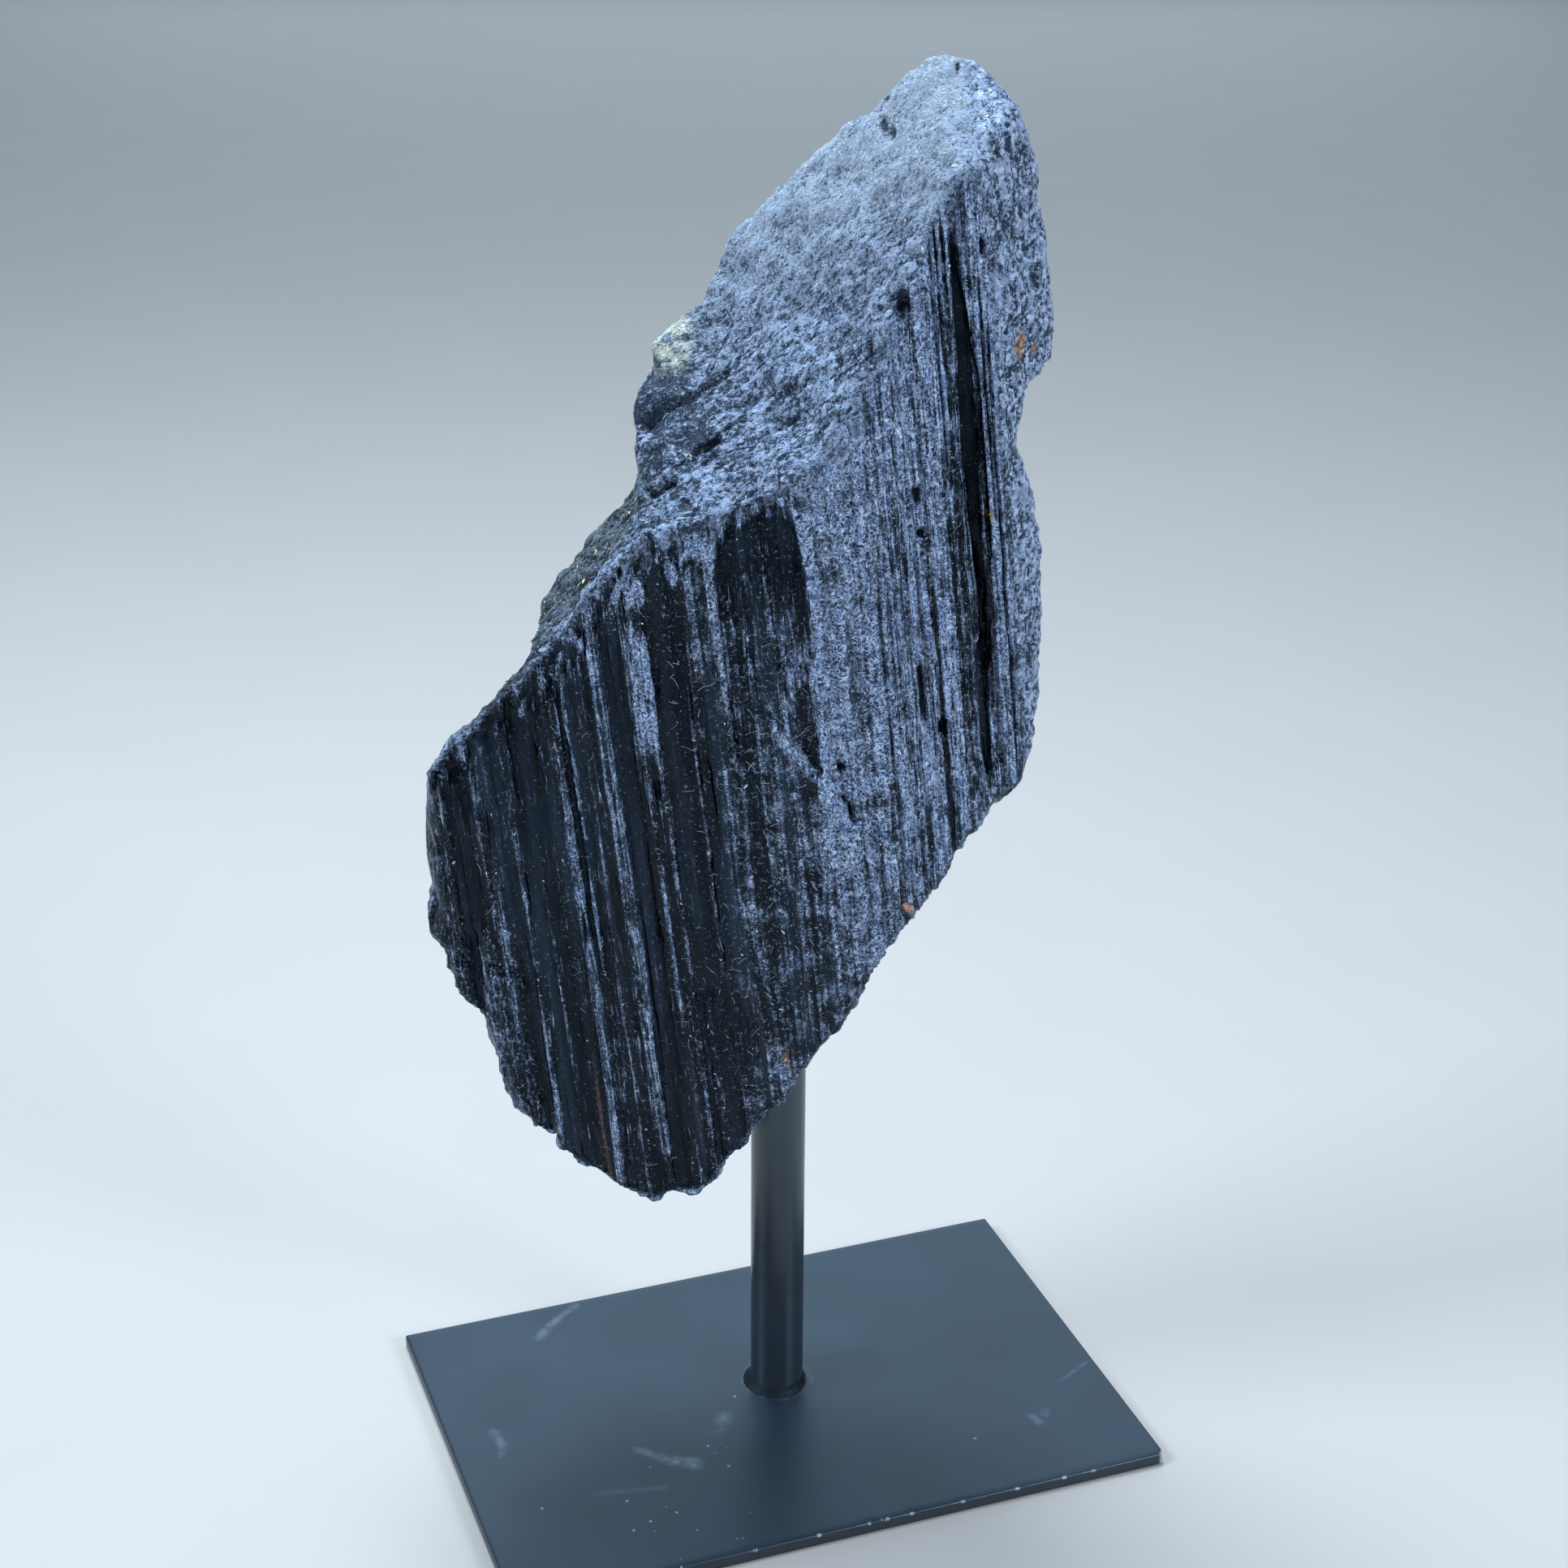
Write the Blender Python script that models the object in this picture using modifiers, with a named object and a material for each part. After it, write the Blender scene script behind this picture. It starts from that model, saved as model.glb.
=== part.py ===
"""Black tourmaline on a welded steel stand.

A hand-high block of schorl, the black iron tourmaline, is drilled from below and stands on a
round steel post that is welded to a small rectangular foot plate.

Frame: metres, +Z up, the origin at the centre of the plate's underside, X along the plate's
long side. The stone is built in its own frame, whose Z is the crystal's long axis, and is then
leaned, turned and lifted into place.
"""

import math

import bmesh
import bpy
from mathutils import Matrix, Vector

MM = 0.001

# ---- Foot plate, post and weld -----------------------------------------------------------
PLATE_LENGTH = 150 * MM
PLATE_DEPTH = 100 * MM
PLATE_THICKNESS = 3 * MM
PLATE_EDGE_RADIUS = 0.7 * MM

POST_DIAMETER = 12 * MM
POST_OFFSET = (2.4 * MM, 4.7 * MM)
POST_TOP = 124 * MM
POST_SIDES = 48
POST_CHAMFER = 0.5 * MM

WELD_WIDTH = 1.1 * MM
WELD_HEIGHT = 1.8 * MM

CLEARANCE = 0.3 * MM

# ---- Stone: where it stands ---------------------------------------------------------------
STONE_CENTRE_HEIGHT = 185 * MM
STONE_TURN = math.radians(-20.1)
STONE_LEAN = math.radians(-6.3)

# ---- Stone: its broad outline, seen square to the striated face ---------------------------
# (across, along the crystal) in mm from the stone's centre. The upper left side is left
# generous here, because the broken ends of the crystals below shape it.
OUTLINE = (
    (43, 118), (50, 115), (55, 106), (57.5, 97), (58.5, 88), (59.8, 64), (58.5, 57.5),
    (52, 52.5), (49.5, 43), (52, 33), (53, 22), (52.5, 6), (50, -18), (46, -26),
    (39, -31), (10, -67.5), (-11, -94.5), (-23.5, -108), (-28, -114), (-40, -116.5), (-46, -113.5),
    (-54, -107.5), (-61, -99.5), (-68, -88), (-70.5, -69), (-74.5, -62.5), (-77, -55),
    (-79.5, -46.5), (-77, -41), (-76.5, -24), (-74.5, -16), (-76, 20), (-60, 60), (20, 118),
)

# Flats that bound the whole stone: azimuth from +X towards +Y and elevation in degrees, and
# distance from the stone's centre in mm.
FLATS = (
    (-96, 0, 25.1),     # striated face, left half
    (-82, 0, 26.7),     # striated face, right half
    (-40, 0, 49.0),     # granular strip down the right edge
    (-140, 0, 67.5),    # narrow face down the left edge
    (-85, 47, 88.6),    # broken tip above the striated face
    (98, 3, 26.0),      # back
    (75, 18.4, 46.3),   # back, thinning towards the tip
    (50, -4, 40.0),     # back, right side
    (130, -5, 53.5),    # back, left side
    (100, -35, 68.8),   # back, thinning towards the bottom
)

# The block is a bundle of parallel crystals, each broken off at its own height. For each:
# its left side, right side and back in mm, and the flats of its broken end as above. The
# second crystal's end is the stepped one.
STEP_FLAT = (-125, 54, 45.9)
CRYSTALS = (
    (-18, 80, 24.5, [(-141.5, 27, 26.4)]),
    (-24, 27, 27.0, [STEP_FLAT, (180, 41, 51.3)]),
    (-49, -21, 20.5, [(180, 46, 41.4)]),
    (-90, -44, 15.0, [(158, 47.5, 33.2)]),
)
CRYSTAL_REACH = 170
CRYSTAL_FRONT = -40

# Long grooves between the crystals in the striated face: place across, lowest and highest
# point along the crystal, width and depth, in mm.
GROOVES = (
    (41.3, -25, 99, 4.6, 6.0),
    (-70.5, -58, -8, 2.4, 2.2),
    (30.5, -20, 16, 2.0, 1.2),
    (5.5, -25, 33, 1.8, 1.0),
    (-26.5, -90, 24, 2.0, 1.0),
    (-46.0, -96, 6, 2.2, 1.0),
    (-57.0, -78, -2, 1.8, 0.9),
)

# Crevices between the rounded steps of that end: start and end in the stone's frame, width
# and depth, in mm.
CREVICES = (
    ((-24, -2, 46), (-3, 0.4, 55.8), 3.0, 2.4),
    ((-24, -13, 39), (1, -8.7, 52), 3.0, 2.0),
    ((-24, 12, 54), (-6, 10, 60), 2.4, 2.0),
)

# The natural surface that is laid over the flats: the size of the grain it is worked out on,
# the wear of its edges, the long ribs that run with the crystals, and the lumps of the broken
# faces.
GRAIN = 1.2 * MM
WEAR_STEPS = 3
RIB_SPACING = 5 * MM
RIB_STRETCH = 18
RIB_HEIGHT = 1.2 * MM
LUMP_SIZE = 14 * MM
LUMP_HEIGHT = 2.2 * MM
FACET_SHARE = 0.075


def aim(azimuth, elevation):
    """Unit vector at an azimuth from +X towards +Y and an elevation, both in degrees."""
    a, e = math.radians(azimuth), math.radians(elevation)
    return Vector((math.cos(a) * math.cos(e), math.sin(a) * math.cos(e), math.sin(e)))


def clear_scene():
    for obj in list(bpy.data.objects):
        bpy.data.objects.remove(obj)


def make_collection(name):
    collection = bpy.data.collections.new(name)
    bpy.context.scene.collection.children.link(collection)
    return collection


def make_material(name, colour, roughness, metallic=0.0):
    material = bpy.data.materials.new(name)
    material.use_nodes = True
    shader = material.node_tree.nodes["Principled BSDF"]
    shader.inputs["Base Color"].default_value = (*colour, 1.0)
    shader.inputs["Roughness"].default_value = roughness
    shader.inputs["Metallic"].default_value = metallic
    return material


def object_from(shape, name, collection):
    """A new object that takes a bmesh's shape."""
    mesh = bpy.data.meshes.new(name)
    bmesh.ops.recalc_face_normals(shape, faces=shape.faces)
    shape.to_mesh(mesh)
    shape.free()
    obj = bpy.data.objects.new(name, mesh)
    collection.objects.link(obj)
    return obj


def make_cutter(shape, name, collection):
    cutter = object_from(shape, name, collection)
    cutter.hide_render = True
    cutter.display_type = "WIRE"
    return cutter


def combine(obj, other, operation):
    modifier = obj.modifiers.new(operation.title(), "BOOLEAN")
    modifier.operation = operation
    modifier.solver = "EXACT"
    modifier.object = other


def settle(obj):
    """Replaces the object's mesh with what its modifiers make of it."""
    bpy.context.view_layer.update()
    graph = bpy.context.evaluated_depsgraph_get()
    mesh = bpy.data.meshes.new_from_object(obj.evaluated_get(graph))
    obj.modifiers.clear()
    obj.data = mesh


def chisel(shape, flat):
    """Cuts away all of the shape beyond a flat, and closes the cut."""
    azimuth, elevation, distance = flat
    normal = aim(azimuth, elevation)
    cut = bmesh.ops.bisect_plane(
        shape,
        geom=shape.verts[:] + shape.edges[:] + shape.faces[:],
        plane_co=normal * distance * MM,
        plane_no=normal,
        clear_outer=True,
    )
    rim = [item for item in cut["geom_cut"] if isinstance(item, bmesh.types.BMEdge)]
    bmesh.ops.triangle_fill(shape, edges=rim, use_beauty=True, use_dissolve=True)


def block(low, high):
    """A box between two corners, as a bmesh."""
    shape = bmesh.new()
    bmesh.ops.create_cube(shape, size=1)
    low, high = Vector(low), Vector(high)
    bmesh.ops.scale(shape, vec=high - low, verts=shape.verts)
    bmesh.ops.translate(shape, vec=(low + high) / 2, verts=shape.verts)
    return shape


# ---- The stand ----------------------------------------------------------------------------


def make_base_plate(collection):
    plate = object_from(
        block(
            (-PLATE_LENGTH / 2, -PLATE_DEPTH / 2, 0),
            (PLATE_LENGTH / 2, PLATE_DEPTH / 2, PLATE_THICKNESS),
        ),
        "base_plate",
        collection,
    )
    rounding = plate.modifiers.new("Edge rounding", "BEVEL")
    rounding.width = PLATE_EDGE_RADIUS
    rounding.segments = 3
    return plate


def make_post(collection):
    foot = PLATE_THICKNESS + CLEARANCE
    shape = bmesh.new()
    bmesh.ops.create_cone(
        shape,
        cap_ends=True,
        segments=POST_SIDES,
        radius1=POST_DIAMETER / 2,
        radius2=POST_DIAMETER / 2,
        depth=POST_TOP - foot,
    )
    post = object_from(shape, "post", collection)
    post.location = (*POST_OFFSET, (POST_TOP + foot) / 2)
    chamfer = post.modifiers.new("End chamfers", "BEVEL")
    chamfer.width = POST_CHAMFER
    chamfer.segments = 1
    chamfer.limit_method = "ANGLE"
    return post


def make_weld(collection):
    """The fillet of weld metal round the post's foot, turned from its section."""
    inner = POST_DIAMETER / 2 + CLEARANCE
    section = (
        (inner, WELD_HEIGHT),
        (inner + 0.45 * WELD_WIDTH, 0.55 * WELD_HEIGHT),
        (inner + WELD_WIDTH, 0.18 * WELD_HEIGHT),
        (inner + WELD_WIDTH, 0),
        (inner, 0),
    )
    shape = bmesh.new()
    corners = [shape.verts.new((radius, 0, height)) for radius, height in section]
    for start, end in zip(corners, corners[1:] + corners[:1]):
        shape.edges.new((start, end))
    mesh = bpy.data.meshes.new("weld_bead")
    shape.to_mesh(mesh)
    shape.free()
    weld = bpy.data.objects.new("weld_bead", mesh)
    collection.objects.link(weld)
    weld.location = (*POST_OFFSET, PLATE_THICKNESS + CLEARANCE)
    turn = weld.modifiers.new("Turn", "SCREW")
    turn.steps = turn.render_steps = POST_SIDES
    turn.use_merge_vertices = True
    turn.merge_threshold = 0.00001
    return weld


# ---- The stone ----------------------------------------------------------------------------


def make_outline_cutter(collection):
    """The broad outline, drawn as a flat curve and extruded through the stone."""
    curve = bpy.data.curves.new("outline", "CURVE")
    curve.dimensions = "2D"
    curve.fill_mode = "BOTH"
    curve.extrude = 2 * abs(CRYSTAL_FRONT) * MM
    line = curve.splines.new("POLY")
    line.points.add(len(OUTLINE) - 1)
    for point, (across, along) in zip(line.points, OUTLINE):
        point.co = (across * MM, along * MM, 0, 1)
    line.use_cyclic_u = True
    drawn = bpy.data.objects.new("outline_curve", curve)
    collection.objects.link(drawn)
    bpy.context.view_layer.update()
    graph = bpy.context.evaluated_depsgraph_get()
    mesh = bpy.data.meshes.new_from_object(drawn.evaluated_get(graph))
    bpy.data.objects.remove(drawn)

    shape = bmesh.new()
    shape.from_mesh(mesh)
    bmesh.ops.remove_doubles(shape, verts=shape.verts, dist=0.01 * MM)
    upright = Matrix.Rotation(math.radians(90), 3, "X")
    bmesh.ops.rotate(shape, verts=shape.verts, cent=(0, 0, 0), matrix=upright)
    return make_cutter(shape, "outline", collection)


def make_crystal(index, left, right, back, end_flats):
    """One crystal of the bundle: a long block with its broken end cut to its flat."""
    # Each is a little longer and deeper than the last, so that no two blocks share a side.
    front, foot = CRYSTAL_FRONT - index, -CRYSTAL_REACH - index
    low = Vector((left, front, foot)) * MM
    high = Vector((right, back, CRYSTAL_REACH)) * MM
    shape = block(low, high)
    for flat in end_flats:
        chisel(shape, flat)
    return shape


def front_depth(across):
    """How far in front of the stone's centre the striated face lies, in metres."""
    depths = []
    for azimuth, _, distance in FLATS[:2]:
        normal = aim(azimuth, 0)
        depths.append((distance * MM - normal.x * across) / -normal.y)
    return min(depths)


def make_blade(name, start, end, outward, width, depth, collection):
    """A long four-sided cutter from point to point, which tapers out at both ends."""
    along = (end - start).normalized()
    across = along.cross(outward).normalized()
    facing = across.cross(along)
    half = (end - start).length / 2
    turn = Matrix((across * width / 2, facing * depth, along * half)).transposed()
    shape = bmesh.new()
    bmesh.ops.create_uvsphere(shape, u_segments=4, v_segments=8, radius=1)
    bmesh.ops.transform(shape, matrix=turn, verts=shape.verts)
    bmesh.ops.translate(shape, vec=(start + end) / 2, verts=shape.verts)
    return make_cutter(shape, name, collection)


def make_blades(collection):
    """The cutters of the striated face's grooves and the broken end's crevices."""
    blades = []
    for across, low, high, width, depth in GROOVES:
        place = -front_depth(across * MM)
        start = Vector((across * MM, place, low * MM))
        end = Vector((across * MM, place, high * MM))
        blades.append((start, end, Vector((0, -1, 0)), width * MM, depth * MM))
    out_of_step = aim(*STEP_FLAT[:2])
    for start, end, width, depth in CREVICES:
        blades.append((Vector(start) * MM, Vector(end) * MM, out_of_step, width * MM, depth * MM))
    return [
        make_blade(f"blade_{index}", *blade, collection) for index, blade in enumerate(blades)
    ]


def make_stone(parts, cutters):
    stone = None
    for index, (left, right, back, end_flats) in enumerate(CRYSTALS):
        shape = make_crystal(index, left, right, back, end_flats)
        if stone is None:
            stone = object_from(shape, "tourmaline", parts)
            continue
        crystal = make_cutter(shape, f"crystal_{index}", cutters)
        combine(stone, crystal, "UNION")
    settle(stone)

    shape = bmesh.new()
    shape.from_mesh(stone.data)
    for flat in FLATS:
        chisel(shape, flat)
    shape.to_mesh(stone.data)
    shape.free()

    combine(stone, make_outline_cutter(cutters), "INTERSECT")
    for blade in make_blades(cutters):
        combine(stone, blade, "DIFFERENCE")
    settle(stone)

    roughen(stone, parts)
    stone.rotation_euler = (0, STONE_LEAN, STONE_TURN)
    stone.location = (*POST_OFFSET, STONE_CENTRE_HEIGHT)
    return stone


def roughen(stone, collection):
    """Turns the chiselled flats into a natural surface, and settles it into few facets."""
    grain = stone.modifiers.new("Grain", "REMESH")
    grain.mode = "VOXEL"
    grain.voxel_size = GRAIN

    wear = stone.modifiers.new("Worn edges", "SMOOTH")
    wear.factor = 0.5
    wear.iterations = WEAR_STEPS

    stretch = bpy.data.objects.new("rib_stretch", None)
    stretch.scale = (1, 1, RIB_STRETCH)
    collection.objects.link(stretch)
    raise_surface(stone, "Ribs", RIB_SPACING, RIB_HEIGHT, stretch)
    raise_surface(stone, "Lumps", LUMP_SIZE, LUMP_HEIGHT)

    facets = stone.modifiers.new("Facets", "DECIMATE")
    facets.ratio = FACET_SHARE
    facets.use_collapse_triangulate = True
    settle(stone)
    bpy.data.objects.remove(stretch)


def raise_surface(obj, name, size, height, space=None):
    """Raises and lowers the surface by a cloud pattern, which an empty's scale can stretch."""
    pattern = bpy.data.textures.new(name, "CLOUDS")
    pattern.noise_scale = size
    pattern.noise_depth = 1
    relief = obj.modifiers.new(name, "DISPLACE")
    relief.texture = pattern
    relief.strength = height
    relief.mid_level = 0.5
    if space:
        relief.texture_coords = "OBJECT"
        relief.texture_coords_object = space


def drill_socket(stone, cutters):
    """The hole that the post stands in, drilled straight up from under the stone."""
    shape = bmesh.new()
    bmesh.ops.create_cone(
        shape,
        cap_ends=True,
        segments=POST_SIDES,
        radius1=POST_DIAMETER / 2 + CLEARANCE,
        radius2=POST_DIAMETER / 2 + CLEARANCE,
        depth=POST_TOP + CLEARANCE,
    )
    drill = make_cutter(shape, "drill", cutters)
    drill.location = (*POST_OFFSET, (POST_TOP + CLEARANCE) / 2)
    combine(stone, drill, "DIFFERENCE")


def main():
    clear_scene()
    parts = make_collection("black_tourmaline_on_stand")
    cutters = make_collection("cutters")

    black_coat = make_material("satin_black_coat", (0.018, 0.02, 0.024), 0.38)
    weld_coat = make_material("coated_weld", (0.012, 0.013, 0.015), 0.45)
    schorl = make_material("schorl", (0.02, 0.023, 0.03), 0.42)

    make_base_plate(parts).data.materials.append(black_coat)
    make_post(parts).data.materials.append(black_coat)
    make_weld(parts).data.materials.append(weld_coat)
    stone = make_stone(parts, cutters)
    drill_socket(stone, cutters)
    stone.data.materials.clear()
    stone.data.materials.append(schorl)

    for obj in (bpy.data.objects["post"], bpy.data.objects["weld_bead"]):
        obj.data.shade_smooth()
        obj.data.set_sharp_from_angle(angle=math.radians(35))


main()
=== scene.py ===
# %% [markdown]
# # Black tourmaline on a welded steel stand
#
# The object is a hand-high block of schorl, the black iron tourmaline, on a small steel stand: a
# rectangular foot plate, and a round post that is welded to it and goes up into a hole drilled in
# the stone. A CAD model already gives every piece its real size and place. This lesson gives each
# piece its true surface and finish around that model. Lengths are metres, and MM turns
# millimetres into them.

# %% Load the frame
import functools
import math
import random

import bpy
import numpy as np
from mathutils import Euler, Matrix, Vector, noise
from mathutils.bvhtree import BVHTree


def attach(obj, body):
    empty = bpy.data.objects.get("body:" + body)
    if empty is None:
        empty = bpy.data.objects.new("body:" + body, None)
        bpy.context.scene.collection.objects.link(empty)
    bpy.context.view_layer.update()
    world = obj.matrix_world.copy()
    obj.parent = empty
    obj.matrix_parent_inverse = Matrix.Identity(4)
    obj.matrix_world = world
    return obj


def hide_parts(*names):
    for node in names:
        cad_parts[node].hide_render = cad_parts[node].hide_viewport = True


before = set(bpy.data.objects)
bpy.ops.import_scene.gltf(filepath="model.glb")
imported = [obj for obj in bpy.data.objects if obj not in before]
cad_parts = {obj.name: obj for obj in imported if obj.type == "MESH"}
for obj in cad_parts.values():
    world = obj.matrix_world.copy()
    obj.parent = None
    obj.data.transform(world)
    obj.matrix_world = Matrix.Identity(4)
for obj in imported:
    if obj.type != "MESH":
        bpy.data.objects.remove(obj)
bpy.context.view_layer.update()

MM = 0.001

# %% [markdown]
# ## Camera
#
# The camera looks down on the stand from the front left, a little over half a metre away. Its
# direction is built from three plain turns: round the upright axis, down from the horizon, and a
# slight roll.

# %% Camera
CAMERA_PLACE = Vector((-178.6, -492.8, 397.1)) * MM
CAMERA_TURN = math.radians(20.08)
CAMERA_DROP = math.radians(24.60)
CAMERA_ROLL = math.radians(0.37)
CAMERA_LENS = 63.84

bpy.ops.object.camera_add(location=CAMERA_PLACE)
camera = bpy.context.object
camera.rotation_euler = (
    Matrix.Rotation(-CAMERA_TURN, 4, "Z")
    @ Matrix.Rotation(math.radians(90) - CAMERA_DROP, 4, "X")
    @ Matrix.Rotation(CAMERA_ROLL, 4, "Z")
).to_euler()
camera.data.lens = CAMERA_LENS
camera.data.sensor_width = 36
camera.data.clip_start = 0.01
bpy.context.scene.camera = camera
print("camera at", [round(value / MM) for value in camera.location], "mm")

# %% [markdown]
# ## Shader maths
#
# A finish is a graph of nodes. Written node by node it is long and hard to read, so a small class
# wraps a socket, and sums and products of wrapped sockets add the Math nodes. Every other node
# comes from one method, which takes the node's type, its settings and what feeds its sockets.


# %% A socket that can be used in sums
class Value:
    """One output of a paint's graph. Arithmetic on it adds Math nodes."""

    def __init__(self, paint, socket):
        self.paint = paint
        self.socket = socket

    def maths(self, operation, *terms):
        return self.paint.add("ShaderNodeMath", {"operation": operation}, terms)

    def __add__(self, other):
        return self.maths("ADD", self, other)

    def __radd__(self, other):
        return self.maths("ADD", other, self)

    def __sub__(self, other):
        return self.maths("SUBTRACT", self, other)

    def __rsub__(self, other):
        return self.maths("SUBTRACT", other, self)

    def __mul__(self, other):
        return self.maths("MULTIPLY", self, other)

    def __rmul__(self, other):
        return self.maths("MULTIPLY", other, self)

    def __pow__(self, other):
        return self.maths("POWER", self, other)

    def __abs__(self):
        return self.maths("ABSOLUTE", self)

    def most(self, other):
        return self.maths("MAXIMUM", self, other)

    def ramp(self, low, high):
        """Rises smoothly from 0 at low to 1 at high."""
        settings = {"interpolation_type": "SMOOTHSTEP"}
        sockets = {"Value": self, "From Min": low, "From Max": high}
        return self.paint.add("ShaderNodeMapRange", settings, sockets)


# %% A material and its graph
class Paint:
    """A material whose nodes are added by this class."""

    def __init__(self, name):
        self.material = bpy.data.materials.new(name)
        self.material.use_nodes = True
        self.tree = self.material.node_tree
        self.shader = self.tree.nodes["Principled BSDF"]

    def feed(self, socket, source):
        if isinstance(source, Value):
            self.tree.links.new(source.socket, socket)
        else:
            socket.default_value = source

    def add(self, kind, settings=None, sockets=(), output=0):
        node = self.tree.nodes.new(kind)
        for name, setting in (settings or {}).items():
            setattr(node, name, setting)
        pairs = sockets.items() if isinstance(sockets, dict) else enumerate(sockets)
        for key, source in pairs:
            self.feed(node.inputs[key], source)
        return Value(self, node.outputs[output])

    def set(self, **sources):
        """Feeds the shader's sockets, whose spaces are written as underlines."""
        for name, source in sources.items():
            self.feed(self.shader.inputs[name.replace("_", " ")], source)
        return self.material

    def count(self):
        print(self.material.name, "has", len(self.tree.nodes), "nodes so far")

    def mix(self, share, first, second):
        """A colour that goes from the first to the second."""
        colours = [c if isinstance(c, Value) else (*c, 1.0) for c in (first, second)]
        sockets = {0: share, 6: colours[0], 7: colours[1]}
        return self.add("ShaderNodeMix", {"data_type": "RGBA"}, sockets, output=2)

    def place(self, frame_matrix=None):
        """Object coordinates in mm, in the piece's frame or in another one's."""
        point = self.add("ShaderNodeTexCoord", output="Object")
        if frame_matrix is not None:
            sockets = {
                "Vector": point,
                "Location": frame_matrix.to_translation(),
                "Rotation": frame_matrix.to_euler(),
            }
            point = self.add("ShaderNodeMapping", {"vector_type": "TEXTURE"}, sockets)
        return self.stretch(point, (1 / MM, 1 / MM, 1 / MM))

    def vector(self, operation, *terms, output=0):
        return self.add("ShaderNodeVectorMath", {"operation": operation}, terms, output)

    def stretch(self, point, factors):
        """The point scaled along each axis, so that a pattern on it is drawn out or squeezed."""
        return self.vector("MULTIPLY", point, factors)

    def turned(self, point, turn, scale):
        """The point seen from a turned frame that is longer along some of its axes."""
        settings = {"vector_type": "TEXTURE"}
        sockets = {"Vector": point, "Rotation": turn, "Scale": scale}
        return self.add("ShaderNodeMapping", settings, sockets)

    def facets(self, point, size):
        """Small flat cells, each tilted its own way, as a height in mm, and each cell's tone."""
        cells = self.add("ShaderNodeTexVoronoi", sockets={"Vector": point, "Scale": 1 / size})
        outputs = cells.socket.node.outputs
        colour, centre = (Value(self, outputs[name]) for name in ("Color", "Position"))
        tilt = self.vector("SUBTRACT", colour, (0.5, 0.5, 0.5))
        offset = self.vector("SUBTRACT", point, centre)
        height = self.vector("DOT_PRODUCT", offset, tilt, output="Value")
        return height, self.axis(colour, "X")

    def axis(self, point, name):
        return self.add("ShaderNodeSeparateXYZ", sockets=(point,), output=name)

    def clouds(self, point, size, detail=2.0, roughness=0.5, distortion=0.0):
        """Noise of 0 to 1 whose lumps are about size mm wide."""
        sockets = {
            "Vector": point,
            "Scale": 1 / size,
            "Detail": detail,
            "Roughness": roughness,
            "Distortion": distortion,
        }
        return self.add("ShaderNodeTexNoise", sockets=sockets)

    def distance(self, x, y, spot):
        """How far a place is from a spot, seen along the third axis, in mm."""
        return ((x - spot[0]) ** 2 + (y - spot[1]) ** 2) ** 0.5

    def stroke(self, x, y, start, end, width):
        """1 along a straight line between two spots, and 0 a little over a width away from it."""
        run = (end[0] - start[0], end[1] - start[1])
        length = run[0] ** 2 + run[1] ** 2
        share = ((x - start[0]) * run[0] + (y - start[1]) * run[1]) * (1 / length)
        share = self.add("ShaderNodeClamp", sockets=(share,))
        away = ((x - start[0] - share * run[0]) ** 2 + (y - start[1] - share * run[1]) ** 2) ** 0.5
        return 1 - away.ramp(0, 1.2 * width)

    def mask(self, name):
        """A value that was stored on the mesh's points."""
        return self.add("ShaderNodeAttribute", {"attribute_name": name}, output="Fac")

    def bump(self, height_mm):
        sockets = {"Height": height_mm, "Distance": MM, "Strength": 1.0}
        return self.add("ShaderNodeBump", sockets=sockets)


def strongest(marks):
    """The greatest of several values, place by place."""
    return functools.reduce(Value.most, marks)


print("shader helpers ready")

# %% [markdown]
# ## Modelling helpers
#
# Blender's operators act on whatever is selected, so each step first clears the selection. Edges
# are picked in code by their length or place. Points are read and written as arrays, because the
# stone has tens of thousands of them.


# %% Selecting and applying
def only(obj):
    """Makes one object the only selected one, and the active one."""
    if bpy.context.mode != "OBJECT":
        bpy.ops.object.mode_set(mode="OBJECT")
    bpy.ops.object.select_all(action="DESELECT")
    obj.select_set(True)
    bpy.context.view_layer.objects.active = obj


def edit(obj, mode="VERT", everything=True):
    """Opens one object in edit mode, with all of it or none of it selected."""
    only(obj)
    bpy.ops.object.mode_set(mode="EDIT")
    bpy.ops.mesh.select_mode(type=mode)
    bpy.ops.mesh.select_all(action="SELECT" if everything else "DESELECT")


def close_edit():
    bpy.ops.object.mode_set(mode="OBJECT")


def apply_modifier(obj, kind, **settings):
    only(obj)
    modifier = obj.modifiers.new(kind.title(), kind)
    for name, setting in settings.items():
        setattr(modifier, name, setting)
    bpy.ops.object.modifier_apply(modifier=modifier.name)


def split_edges(obj, chosen, cuts):
    """Subdivides the chosen edges of an object."""
    edit(obj, "EDGE", everything=False)
    close_edit()
    obj.data.edges.foreach_set("select", chosen)
    bpy.ops.object.mode_set(mode="EDIT")
    bpy.ops.mesh.subdivide(number_cuts=cuts)
    close_edit()


def smooth(obj, degrees):
    """Shades an object smooth, apart from edges that are sharper than this."""
    only(obj)
    bpy.ops.object.shade_smooth_by_angle(angle=math.radians(degrees))


def name_piece(obj, name, material, replaced=None):
    """Names a finished piece, gives it its material, hangs it on the root, and hides the CAD part
    that it replaces.
    """
    obj.name = obj.data.name = name
    obj.data.materials.clear()
    obj.data.materials.append(material)
    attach(obj, "root")
    if replaced:
        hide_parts(replaced)
    print(name, "has", len(obj.data.polygons), "faces")


# %% Reading and writing points
def points_of(obj):
    """The mesh's points in mm, as rows of an array."""
    values = np.empty(len(obj.data.vertices) * 3)
    obj.data.vertices.foreach_get("co", values)
    return values.reshape(-1, 3) / MM


def move_points(obj, points):
    obj.data.vertices.foreach_set("co", (points * MM).ravel())
    obj.data.update()


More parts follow.
